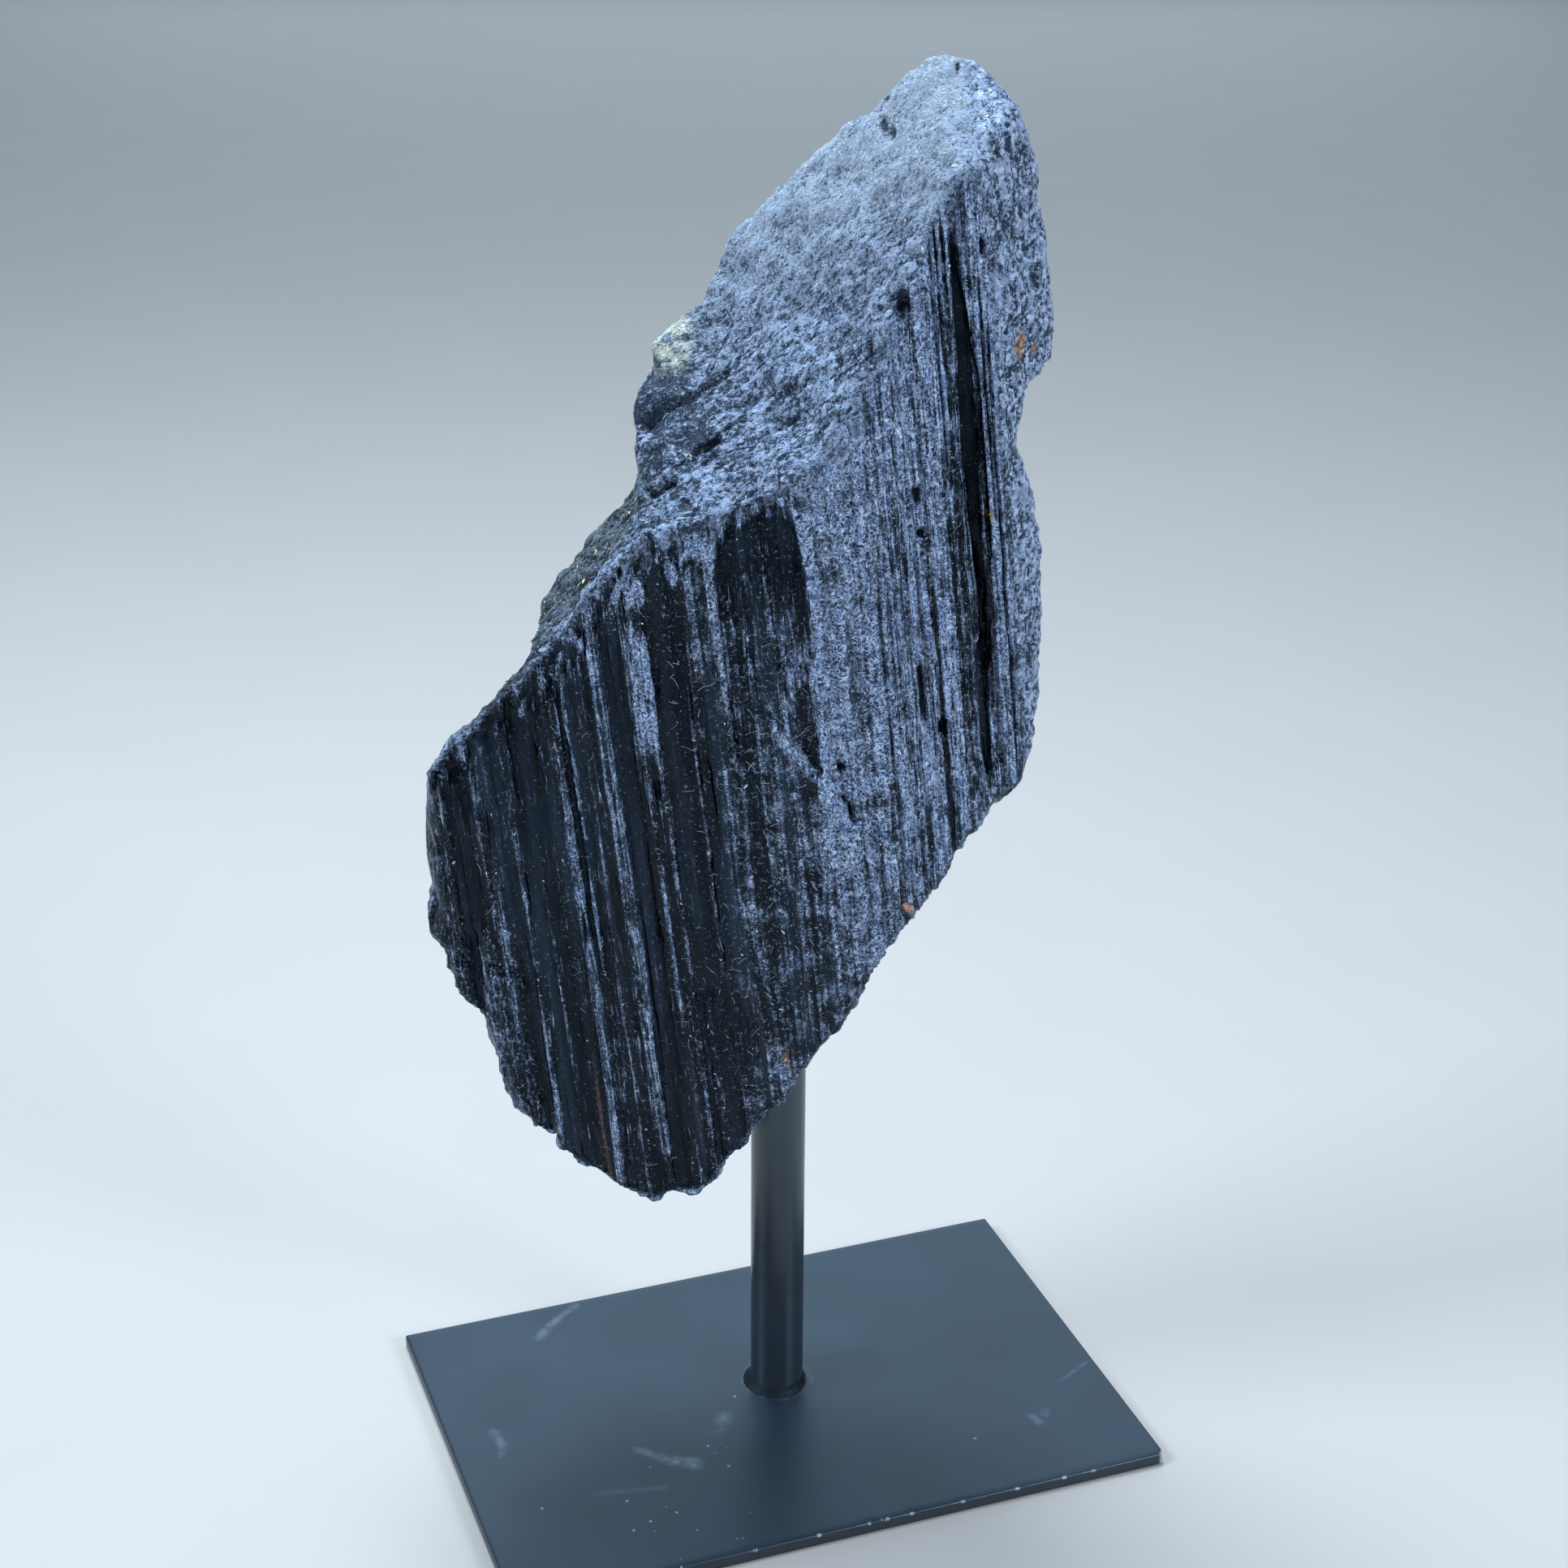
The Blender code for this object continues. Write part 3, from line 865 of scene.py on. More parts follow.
# %% Stains for the shader
# Each stain is: its middle and its radius.
STAINS = (
    (52.5, -14.3, 62.6, 1.0),
    (52.6, -14.0, 64.2, 0.9),
    (52.3, -14.6, 61.0, 0.8),
    (55.0, -11.0, 61.0, 0.9),
    (43.6, -21, 32.0, 0.9),
    (-7.5, -24.0, -82.3, 0.8),
    (-7.2, -24.0, -84.0, 0.6),
    (9, -25, -18, 0.8),
)
rust = np.zeros(len(START))
for *spot, wide in STAINS:
    rust = np.maximum(rust, 1 - ramp(away_from(*spot), 0.5 * wide, 1.5 * wide))
streak = within(X + wander, -48.5, -48.0, 0.25) * within(Z, -112, -86, 6)
store(stone, "rust", np.maximum(rust, 0.24 * streak * front))

pale = 1 - ramp(away_from(-15, 18, 60), 5, 8.5)
pale *= ramp(clouds(START, 3.0, seed=12, octaves=2), -0.35, 0.0) * broken
store(stone, "pale", pale)
olive = within(X + 2 * fray, -66, -21, 2) * ramp(FACING[:, 2], 0.3, 0.5)
olive_edge = -17 - 7 * ramp(-X, 40, 52)
olive *= ramp(Y + 2 * fray + 1.5 * wander - olive_edge, 0, 6)
store(stone, "olive", olive * (1 - ramp(Z, 42, 46)))

# %% [markdown]
# The stone's mesh goes back from the crystals' frame to the stand's, so that the object itself
# stays at the origin, unturned. Edges sharper than 50 degrees stay crisp.

# %% Put the stone in its place
stone.data.transform(crystal_frame)
smooth(stone, 50)
print("stone stands", round(float(points_of(stone)[:, 2].max()), 1), "mm high")

# %% [markdown]
# ## The stone's finish
#
# Clean schorl is a glossy black glass. What makes it read as a stone is everything on it: a
# bluish grey bloom of fine dust where the surface is rough, thin pale lines along the ridges, and
# tiny glints. The dust stored on the points says how dense the bloom is, and a fine grain then
# decides speck by speck where it lies. The patterns are drawn in the crystals' frame, so a noise
# that is squeezed along Z comes out as lines along the crystals.

# %% Patterns of the schorl
NAP_TURN = Vector(NAP).to_track_quat("X", "Z").to_euler()
schorl = Paint("schorl")
here = schorl.place(crystal_frame)
masks = ("broken", "dust", "lined", "strip", "tip", "olive")
rough, dusty, lined, strip, fine, mossy = (schorl.mask(name) for name in masks)
ruled_share = 1 - rough
hackle = 1 - fine

lines = schorl.clouds(schorl.stretch(here, (1, 1, 0.04)), 1.1, detail=3, roughness=0.8)
hairs = schorl.clouds(schorl.stretch(here, (1, 1, 0.05)), 0.42, detail=2, roughness=0.7)
panes_and_painted_sheen = schorl.clouds(schorl.stretch(here, (1, 1, 0.06)), 4.0, detail=2, roughness=0.6)
patches = schorl.clouds(here, 4.5, detail=4, roughness=0.65)
blots = schorl.clouds(schorl.turned(here, NAP_TURN, (2.6, 1, 1)), 0.7, detail=3, roughness=0.7)
grain = schorl.clouds(here, 0.75, detail=2, roughness=0.9)
gaps = schorl.clouds(here, 2.2, detail=0)
curls, threads = (schorl.clouds(here, size, detail=1, distortion=2.0) for size in (2.1, 1.5))
schorl.count()

# %% [markdown]
# On striated faces the dust is a felt. It has short curly fibres, drawn where a noise crosses its
# middle value, and where the face is clean it keeps to lines along the crystals.

# %% Dust on striated faces
fibres = ((1 - abs(curls - 0.5) * 13) * gaps.ramp(0.42, 0.50)).most(
    (1 - abs(threads - 0.5) * 11) * (1 - gaps.ramp(0.50, 0.58))
)
fibres = fibres.most(0)
density = dusty + (patches - 0.5) * 1.35
density = density + ((lines - 0.5) * 1.5 + (hairs - 0.5) * 1.2) * ruled_share * lined
texture = 0.34 + (grain - 0.5) * (3.9 - 1.5 * lined) + fibres * (1.35 - 0.6 * lined)
texture = (texture + ((lines - 0.5) * 1.3 + (hairs - 0.5) * 2.2) * lined).most(0)
threadlines = (lines + hairs).ramp(1.10, 1.32) * gaps.ramp(0.35, 0.6)
threadlines = threadlines * lined * (0.10 + 0.5 * dusty)
felt = (density.ramp(0.30, 1.08) * texture).most(threadlines)
schorl.count()

# %% [markdown]
# On broken faces the dust lies on small tilted chips, each a little lighter or darker than the
# next. The veins and hairline cracks between them stay dark, and so do small gaps, which are
# painted shade for pits too small for the mesh. Towards the tip the chips are too fine to tell
# apart, so they fade out there.

# %% Dust on broken faces
chips, tone = schorl.facets(schorl.turned(here, NAP_TURN, (2.2, 1, 1)), 0.85)
even = dusty + (patches - 0.5) * (0.2 + 0.35 * hackle) + (blots - 0.5) * (0.8 + 0.65 * hackle)
even = even + (grain - 0.5) * (1.5 + 0.7 * hackle) + (tone - 0.5) * 0.60 * hackle
even = even + ((lines - 0.5) * 1.2 + (hairs - 0.5) * 1.0) * strip
bloom = even.ramp(0.26, 1.03) * (1 - strip) + even.ramp(0.34, 0.94) * strip
schorl.count()

# %% Gaps of painted shade, veins and hairline cracks
# Each hairline crack in the broken end, seen along Y, is: its start, its end and its width.
HAIRLINES = (
    ((-16.7, 44.1), (-11.8, 45.2), 0.30),
    ((-11.6, 46.6), (-9.0, 47.4), 0.55),
    ((-9.0, 47.4), (-7.2, 48.7), 0.60),
    ((-5.6, 49.8), (-1.4, 52.5), 0.40),
    ((-17.0, 40.0), (-16.0, 40.3), 0.60),
    ((-14.8, 39.6), (-13.2, 39.1), 0.60),
    ((-8.2, 44.1), (-6.6, 44.8), 0.50),
    ((4.4, 46.8), (6.0, 47.5), 0.40),
    ((4.3, 42.6), (4.5, 45.2), 0.35),
)
x, z = (schorl.axis(here, name) for name in "XZ")
z = z + (blots - 0.5) * 1.6
hairline = strongest(schorl.stroke(x, z, *line) for line in HAIRLINES)
# Gaps where the blots are lowest: painted shade for pits too small for the mesh.
cracks_and_painted_shade = (1 - blots.ramp(0.34, 0.40)) * hackle * (1 - strip) * 0.8
veins = (1 - abs(threads - 0.5) * 24).most(0) * gaps.ramp(0.46, 0.56) * hackle * (1 - strip)
cracks_and_painted_shade = cracks_and_painted_shade.most(hairline).most(veins * 0.85) * rough
cover = (felt * ruled_share + bloom * rough) * (1 - cracks_and_painted_shade)
schorl.count()

# %% [markdown]
# Under the dust, the black has panes that are a little bluer: partly each crystal's own tone,
# partly a painted sheen. The breaks are greyer. The dust's own colour is blue grey on the striated
# faces, greyer on the breaks, and whitish on single chips that catch the light. Painted glints,
# rust and the pale rock come on top.

# %% Colour of the schorl
# Panes on the black: partly each crystal's own tone, partly a painted sheen.
base = schorl.mix(panes_and_painted_sheen.ramp(0.42, 0.68), (0.0008, 0.0014, 0.0034), (0.011, 0.018, 0.031))
base = schorl.mix(density.ramp(0.3, 1.0) * 0.8, base, (0.010, 0.016, 0.033))
base = schorl.mix(rough * 0.9, base, (0.026, 0.037, 0.063))
# Painted shade in the gaps, and the dark veins and cracks.
base = schorl.mix(cracks_and_painted_shade, base, (0.004, 0.006, 0.011))
base = schorl.mix(mossy * 0.8, base, (0.010, 0.014, 0.014))
felt_shade = schorl.mix(fibres, (0.255, 0.365, 0.68), (0.72, 0.82, 1.0))
shade = schorl.mix(patches.ramp(0.35, 0.7), (0.26, 0.34, 0.50), (0.34, 0.41, 0.57))
glint = tone.ramp(0.6, 1.0) * (0.10 + hackle * (0.25 + 0.5 * strip))
shade = schorl.mix(glint, shade, (0.60, 0.70, 0.94))
shade = schorl.mix(fine * 0.85, shade, (0.385, 0.44, 0.53))
shade = schorl.mix(mossy * 0.8, shade, (0.08, 0.10, 0.115))
colour = schorl.mix(cover, base, schorl.mix(rough, felt_shade, shade))
schorl.count()

# %% Painted glints, rust and pale rock
# Bright specks painted into the colour as glints.
painted_glints = strongest((
    grain.ramp(0.665, 0.72) * (0.45 + 0.5 * dusty),
    grain.ramp(0.60, 0.66) * strip * 0.9,
    grain.ramp(0.61, 0.68) * rough * hackle * 0.55,
    fibres.ramp(0.45, 0.90) * grain.ramp(0.53, 0.62) * ruled_share * dusty,
))
colour = schorl.mix(painted_glints * 0.9, colour, (0.62, 0.70, 0.92))
colour = schorl.mix(schorl.mask("rust") * grain.ramp(0.3, 0.5), colour, (0.42, 0.20, 0.08))
pale_shade = schorl.mix(blots.ramp(0.35, 0.6), (0.38, 0.44, 0.44), (0.76, 0.76, 0.60))
colour = schorl.mix(schorl.mask("pale") * grain.ramp(0.25, 0.5), colour, pale_shade)
schorl.count()

# %% [markdown]
# Dust also dulls the gloss. Relief that is too fine for the mesh is a bump: lines, fibres and
# crystal facets on the striated faces, and chips, blots and gaps on the breaks.

# %% Gloss and relief of the schorl
facets, _ = schorl.facets(here, 0.8)
relief = lines * ruled_share * lined * 0.18 + hairs * ruled_share * lined * 0.08
relief = relief + grain * (0.05 + 0.10 * cover + 0.24 * rough)
relief = relief + (blots * (0.36 + 0.30 * hackle) + chips * 0.45 * hackle - cracks_and_painted_shade * 0.5) * rough
relief = relief + fibres * cover * 0.12 + facets * (0.12 + 0.50 * cover - 0.15 * rough)
schorl.set(
    Base_Color=colour,
    Roughness=0.10 + 0.10 * hairs + 0.18 * panes_and_painted_sheen.ramp(0.4, 0.7) + cover * 0.25,
    IOR=1.50,
    Specular_IOR_Level=0.23,
    Specular_Tint=(0.62, 0.82, 1.0, 1.0),
    Normal=schorl.bump(relief),
)
schorl.count()
name_piece(stone, "tourmaline_stone", schorl.material, replaced="tourmaline")

# %% [markdown]
# ## Flakes, chips and grains
#
# Between the crystals there are a few grains of other minerals: golden flakes of mica, white chips
# of quartz and a few pinkish grains. Most are a millimetre or less, but they catch the eye, so
# each is a solid of its own, half sunk in the stone. One hexagonal flake is modelled, and copies
# of it are laid flat against the stone where its surface is nearest to a listed spot. More of
# them are strewn over the ledges and the tip by seeded random draws.

# %% Where the surface is
surface = BVHTree.FromObject(stone, bpy.context.evaluated_depsgraph_get())


def on_stone(spot):
    """The nearest place on the stone to a spot in the crystal frame, and which way it faces."""
    place, facing, _, _ = surface.find_nearest(crystal_frame @ (Vector(spot) * MM))
    return place, facing


# The striated face lies between these two outlines: across, along.
FRONT_TOP = ((-70, -10), (-22, 28), (8, 38), (20, 52), (36, 88), (50, 98))
FRONT_FOOT = ((-70, -55), (-60, -92), (-43, -108), (-28, -108), (-20, -98), (5, -68), (48, -8))


def front_spot(rng, low=-68, high=47):
    """A random spot just in front of the striated face."""
    across = rng.uniform(low, high)
    top = np.interp(across, *zip(*FRONT_TOP))
    foot = np.interp(across, *zip(*FRONT_FOOT))
    return (across, -26, rng.uniform(foot, top))


print("surface ready to lay things on")


# %% One flake
bpy.ops.object.select_all(action="DESELECT")
bpy.ops.mesh.primitive_cylinder_add(vertices=6, radius=0.5 * MM, depth=0.4 * MM)
flake = bpy.context.object
edit(flake, "FACE")
bpy.ops.transform.resize(value=(1.0, 0.72, 1.0), center_override=(0, 0, 0))
close_edit()
apply_modifier(flake, "BEVEL", width=0.07 * MM, segments=1, angle_limit=math.radians(40))
print("one flake has", len(flake.data.polygons), "faces")


# %% Copies of the flake
def scatter(name, spots, seed):
    """Lays a flake at each spot. A spot is: place, length, width and how far it tilts."""
    rng = random.Random(seed)
    copies = []
    for spot, length, width, tilt in spots:
        place, facing = on_stone(spot)
        copy = flake.copy()
        copy.data = flake.data.copy()
        bpy.context.scene.collection.objects.link(copy)
        lean = Vector([rng.uniform(-tilt, tilt) for _ in range(3)])
        turn = (facing + lean).to_track_quat("Z", "X").to_matrix().to_4x4()
        spin = Matrix.Rotation(rng.uniform(0, math.tau), 4, "Z")
        size = Matrix.Diagonal((length, width, min(length, width), 1))
        copy.data.transform(Matrix.Translation(place) @ turn @ spin @ size)
        copies.append(copy)
    bpy.ops.object.select_all(action="DESELECT")
    for copy in copies:
        copy.select_set(True)
    bpy.context.view_layer.objects.active = copies[0]
    bpy.ops.object.join()
    joined = bpy.context.object
    joined.name = name
    print(len(copies), "copies joined as", name)
    return joined


# %% Golden mica
GOLD_SPOTS = (
    (32.4, -1.6, 106.3), (27.7, -3.4, 96.9), (36.3, -13, 99), (36.5, -13.8, 98.1),
    (40.8, -16.3, 101), (42.3, -19.4, 99.3), (44.9, -9.5, 108.5), (49.3, -12.7, 106.1),
    (34, -13.5, 94), (36, -15.5, 93.8), (24.2, -0.4, 94.5), (27.5, -23, 50.7),
    (-12.9, -9, 46), (43.6, -21, 32),
)
GOLD_ON_LEDGES, GOLD_ON_TIP = 70, 16
rng = random.Random(5)
gold = [(spot, rng.uniform(0.7, 1.3), rng.uniform(0.4, 0.7), 0.5) for spot in GOLD_SPOTS]
for _ in range(GOLD_ON_LEDGES):
    along = rng.random()
    spot = (-24 - 36 * along, rng.uniform(-14, 6), 40 - 38 * along)
    gold.append((spot, rng.uniform(0.5, 1.6), rng.uniform(0.3, 0.6), 0.5))
for _ in range(GOLD_ON_TIP):
    spot = (rng.uniform(22, 50), rng.uniform(-18, 5), rng.uniform(88, 112))
    gold.append((spot, rng.uniform(0.4, 0.8), rng.uniform(0.3, 0.5), 0.5))
gold_flakes = scatter("golden_mica_flakes", gold, seed=6)

# %% White quartz
# Each larger chip is: its place, length and width.
WHITE_SPECKS = 110
WHITE_SPOTS = (
    ((27.5, -23, 50.7), 2.2, 1.4),
    # The chip on the next line also stands for a bright glint there: a painted highlight as well
    # as a quartz chip.
    ((35.2, -21.4, 84.7), 1.3, 0.9),
    ((-5, -25, -52), 1.3, 0.5),
    ((-7, -25, -70), 1.3, 0.5),
    ((-9, -25, -19), 1.3, 0.6),
    ((-70, -18, -33), 1.0, 0.7),
    ((34, -23, 10), 2.0, 1.2),
    ((28, -24, -18), 1.3, 0.8),
)
white = [(spot, length, width, 0.6) for spot, length, width in WHITE_SPOTS]
for _ in range(WHITE_SPECKS):
    white.append((front_spot(rng), rng.uniform(0.3, 0.8), rng.uniform(0.25, 0.5), 0.9))
white_chips = scatter("white_quartz_chips", white, seed=7)

# %% Pink grains
PINK_SPOTS = (
    ((20.7, -23.9, -48.9), 2.6, 2.6),
    ((21.3, -23.9, -49.6), 1.8, 2.2),
    ((52.5, -14.3, 63.2), 1.4, 1.8),
    ((52.4, -14.4, 61.6), 1.1, 1.6),
    ((-7.5, -24.0, -82.3), 1.2, 1.0),
    ((-7.1, -24.0, -84.0), 1.0, 0.7),
)
pink = [(spot, length, width, 0.7) for spot, length, width in PINK_SPOTS]
pink_grains = scatter("pink_grains", pink, seed=8)
bpy.data.objects.remove(flake)

# %% [markdown]
# Mica reflects like thin metal, so the golden flakes are part metallic. Quartz is clear and pale.
# The pink grains are dull, stained by iron.


# %% Finishes of the grains
def grain_paint(name, dark, light, roughness, metallic):
    paint = Paint(name)
    cloud = paint.clouds(paint.place(), 0.7, detail=2)
    colour = paint.mix(cloud.ramp(0.35, 0.65), dark, light)
    return paint.set(
        Base_Color=colour,
        Roughness=roughness + 0.2 * cloud,
        Metallic=metallic * cloud if metallic else 0.0,
        Normal=paint.bump(cloud * 0.2),
    )


gold_paint = grain_paint("golden_mica", (0.30, 0.24, 0.10), (0.85, 0.72, 0.36), 0.15, 0.8)
white_paint = grain_paint("white_quartz", (0.34, 0.38, 0.46), (0.72, 0.76, 0.86), 0.10, 0.0)
pink_paint = grain_paint("iron_stained_grain", (0.34, 0.15, 0.08), (0.66, 0.40, 0.28), 0.40, 0.0)
name_piece(gold_flakes, "golden_mica_flakes", gold_paint)
name_piece(white_chips, "white_quartz_chips", white_paint)
name_piece(pink_grains, "pink_grains", pink_paint)

# %% [markdown]
# ## Lint
#
# A rough black stone gathers lint that no wiping removes. Each fibre is a thin curve that wanders
# over the surface. It is drawn as a bevelled curve with closed ends and then made a mesh. A fibre
# starts on the striated face, and every step is drawn back to just above the stone. The longest
# fibres have a place of their own, and one hair stands up at the tip.

# %% How a fibre is laid
LINT_RADIUS = 0.036
lint_curve = bpy.data.curves.new("lint", "CURVE")
lint_curve.dimensions = "3D"
lint_curve.bevel_depth = LINT_RADIUS * MM
lint_curve.bevel_resolution = 0
lint_curve.use_fill_caps = True


def lay_fibre(spot, heading, steps, stride, bend, rng):
    """Lays one fibre on the stone, from a spot in the crystal frame."""
    here = Vector(spot)
    run = Vector(heading).normalized()
    path = []
    for _ in range(steps):
        place, facing = on_stone(here)
        path.append(place + facing * rng.uniform(0.05, 0.16) * MM)
        run += Vector([rng.uniform(-bend, bend) for _ in range(3)])
        run.normalize()
        here = crystal_frame.inverted() @ place / MM + run * stride
    spline = lint_curve.splines.new("POLY")
    spline.points.add(len(path) - 1)
    for point, place in zip(spline.points, path):
        point.co = (*place, 1)


# %% Fibres
# Half of the fibres go anywhere on the face, and half near its middle. The window stays clean.
LINT_COUNT = 520
LINT_REACHES = ((-68, 47), (-24, 24))
rng = random.Random(11)
for _ in range(LINT_COUNT):
    spot = front_spot(rng, *rng.choice(LINT_REACHES))
    in_window = -10 < spot[0] < 8 and spot[2] > 12
    if in_window:
        continue
    heading = (rng.uniform(-1, 1), 0, rng.uniform(-1, 1))
    lay_fibre(spot, heading, rng.randint(3, 10), rng.uniform(0.25, 0.40), 0.30, rng)

# Each longer fibre is: its start, its heading, the steps, their length and how much it bends.
LONG_FIBRES = (
    ((-18.5, -26, -52), (-0.5, 0, -1), 9, 0.5, 0.50),
    ((-30, -26, -72), (1, 0, 0.5), 9, 0.5, 0.30),
    ((-28, -26, -70), (0.4, 0, 1), 8, 0.5, 0.35),
    ((-44, -26, -80), (1, 0, 0.2), 8, 0.5, 0.30),
    ((-34, -26, -60), (0.3, 0, -1), 10, 0.5, 0.30),
    ((-16, -26, 2), (1, 0, 0.8), 14, 0.6, 0.30),
    ((-8, -26, -8), (1, 0, 0.6), 10, 0.5, 0.25),
    ((24, -26, 29), (1, 0, 0.1), 6, 0.5, 0.25),
    ((46, -24, 25), (-1, 0, 0.3), 10, 0.6, 0.20),
)
for fibre in LONG_FIBRES:
    lay_fibre(*fibre, rng)
print(len(lint_curve.splines), "fibres laid")

# %% The hair at the tip
apex, _ = on_stone((42.2, -1.0, 118))
hair = lint_curve.splines.new("POLY")
HAIR = ((1.5, 0, -0.6), (0, 0, 0.2), (-1.2, 0, 0.7), (-2.4, 0, 0.8), (-3.8, -0.4, 1.6))
hair.points.add(len(HAIR) - 1)
for point, offset in zip(hair.points, HAIR):
    point.co = (*(apex + Vector(offset) * MM), 1)
print("the hair has", len(HAIR), "points")

# %% One mesh of lint
lint = bpy.data.objects.new("lint", lint_curve)
bpy.context.scene.collection.objects.link(lint)
only(lint)
bpy.ops.object.convert(target="MESH")
lint = bpy.context.object
edit(lint)
bpy.ops.mesh.normals_make_consistent(inside=False)
close_edit()

lint_paint = Paint("lint")
lint_tone = lint_paint.clouds(lint_paint.place(), 2.5, detail=2)
lint_colour = lint_paint.mix(lint_tone.ramp(0.3, 0.7), (0.12, 0.16, 0.25), (0.60, 0.66, 0.80))
lint_paint.set(Base_Color=lint_colour, Roughness=0.7)
name_piece(lint, "lint_fibres", lint_paint.material)

# %% [markdown]
# ## The post
#
# The post is a plain round bar of 12 mm, cut square, painted black together with the plate. It is
# a cylinder with many sides, so that its outline stays round close up. Rings are added along it,
# because paint on drawn bar is never quite flat: it has long faint waves and a slight orange
# peel, and those need points to bend.

# %% Post
POST_RADIUS = 6.0
POST_FOOT, POST_TOP = 3.0, 124.0
POST_SIDES, POST_RINGS = 112, 80
bpy.ops.object.select_all(action="DESELECT")
bpy.ops.mesh.primitive_cylinder_add(
    vertices=POST_SIDES,
    radius=POST_RADIUS * MM,
    depth=(POST_TOP - POST_FOOT) * MM,
    location=(POST_AT[0] * MM, POST_AT[1] * MM, (POST_FOOT + POST_TOP) / 2 * MM),
)
post = bpy.context.object
bpy.ops.object.transform_apply()
_, span = edge_spans(post)
split_edges(post, np.abs(span[:, 2]) > 50, cuts=POST_RINGS)
apply_modifier(post, "BEVEL", width=0.6 * MM, segments=2, angle_limit=math.radians(60))


def from_post_axis(places):
    """Which way is outward from the post's axis, and how far off it each place is."""
    outward = (places - (*POST_AT, 0)) * (1, 1, 0)
    radius = np.linalg.norm(outward, axis=1)
    return outward / radius[:, None], radius


places = points_of(post)
outward, radius = from_post_axis(places)
waves = 0.030 * clouds(places, 6, seed=41, long=8) + 0.012 * clouds(places, 1.6, seed=42)
waves *= radius > POST_RADIUS - 0.1
move_points(post, places + outward * waves[:, None])
smooth(post, 35)
print("post:", len(post.data.polygons), "faces")

# %% [markdown]
# ## The weld
#
# A fillet of weld runs round the foot of the post. It is an uneven little ramp, wider on one side,
# with the shallow ripples that the welder leaves with each dab. Its section is drawn once and spun
# round the post's axis, and the ripples are then pushed into it.

# %% Weld
# The section's corners are: distance from the post's axis, height.
WELD_SECTION = (
    (5.6, 2.8),
    (7.30, 2.8),
    (7.22, 3.06),
    (6.98, 3.30),
    (6.70, 3.66),
    (6.42, 4.10),
    (6.20, 4.55),
    (6.02, 4.90),
    (5.6, 4.95),
)
WIDE_SIDE = (-0.94, 0.34)
WELD_STEPS = 176
section = bpy.data.meshes.new("weld_section")
corners = [((POST_AT[0] + r) * MM, POST_AT[1] * MM, z * MM) for r, z in WELD_SECTION]
loop = [(i, (i + 1) % len(corners)) for i in range(len(corners))]
section.from_pydata(corners, loop, [])
weld = bpy.data.objects.new("weld", section)
bpy.context.scene.collection.objects.link(weld)
edit(weld)
bpy.ops.mesh.spin(
    steps=WELD_STEPS,
    angle=math.tau,
    center=(POST_AT[0] * MM, POST_AT[1] * MM, 0),
    axis=(0, 0, 1),
)
bpy.ops.mesh.select_all(action="SELECT")
bpy.ops.mesh.remove_doubles(threshold=MERGE)
bpy.ops.mesh.normals_make_consistent(inside=False)
close_edit()

places = points_of(weld)
outward, radius = from_post_axis(places)
around = np.arctan2(outward[:, 1], outward[:, 0])
belly = ramp(radius, 5.9, 6.9)
ripple = 0.06 * np.abs(np.sin(13 * around + 0.6 * np.sin(3 * around)))
uneven = 0.42 * (outward[:, 0] * WIDE_SIDE[0] + outward[:, 1] * WIDE_SIDE[1])
lumpy = 0.10 * clouds(places, 2.2, seed=43, octaves=2)
places += outward * (belly * (ripple + uneven + lumpy))[:, None]
move_points(weld, places)
smooth(weld, 60)
print("weld:", len(weld.data.polygons), "faces")

# %% [markdown]
# ## The foot plate
#
# The plate is a 3 mm sheared blank. Shearing rolls its top edge over a little, and the paint
# rounds it more. Its long sides are cut into short pieces before the bevel, so that small dents
# can be pressed into the front edge, where the paint has chipped off.

# %% Plate
PLATE = (150.0, 100.0, 3.0)
bpy.ops.object.select_all(action="DESELECT")
bpy.ops.mesh.primitive_cube_add(size=1, location=(0, 0, PLATE[2] / 2 * MM))
plate = bpy.context.object
plate.scale = [side * MM for side in PLATE]
bpy.ops.object.transform_apply()
for axis, cuts in ((0, 149), (1, 49)):
    _, span = edge_spans(plate)
    split_edges(plate, np.abs(span[:, axis]) > 10, cuts)
apply_modifier(plate, "BEVEL", width=0.55 * MM, segments=3, angle_limit=math.radians(60))

CHIPS = (57.5, 50.3, 39.0, 26.0, 14.0, 3.9, -7.5, -22.0)
places = points_of(plate)
for across in CHIPS:
    away = np.linalg.norm((places - (across, -49.8, 2.9)) / (1.1, 0.9, 0.7), axis=1)
    places += np.outer(1 - ramp(away, 0.2, 1.0), (0, 0.22, -0.16))
corner = 1 - ramp(np.linalg.norm(places - (75, -50, 2.2), axis=1), 0.3, 2.2)
places += np.outer(corner, (-0.35, 0.35, -0.1))
move_points(plate, places)
smooth(plate, 35)
print("plate:", len(plate.data.polygons), "faces")

# %% [markdown]
# ## The stand's paint
#
# The stand has a thin satin black coat, slate blue under daylight. A satin coat scatters what it
# reflects, so the roughness is high but the colour stays dark. Rubbing has left lighter smears,
# dust has left specks, and along the front edge the coat has come off in bright chips.


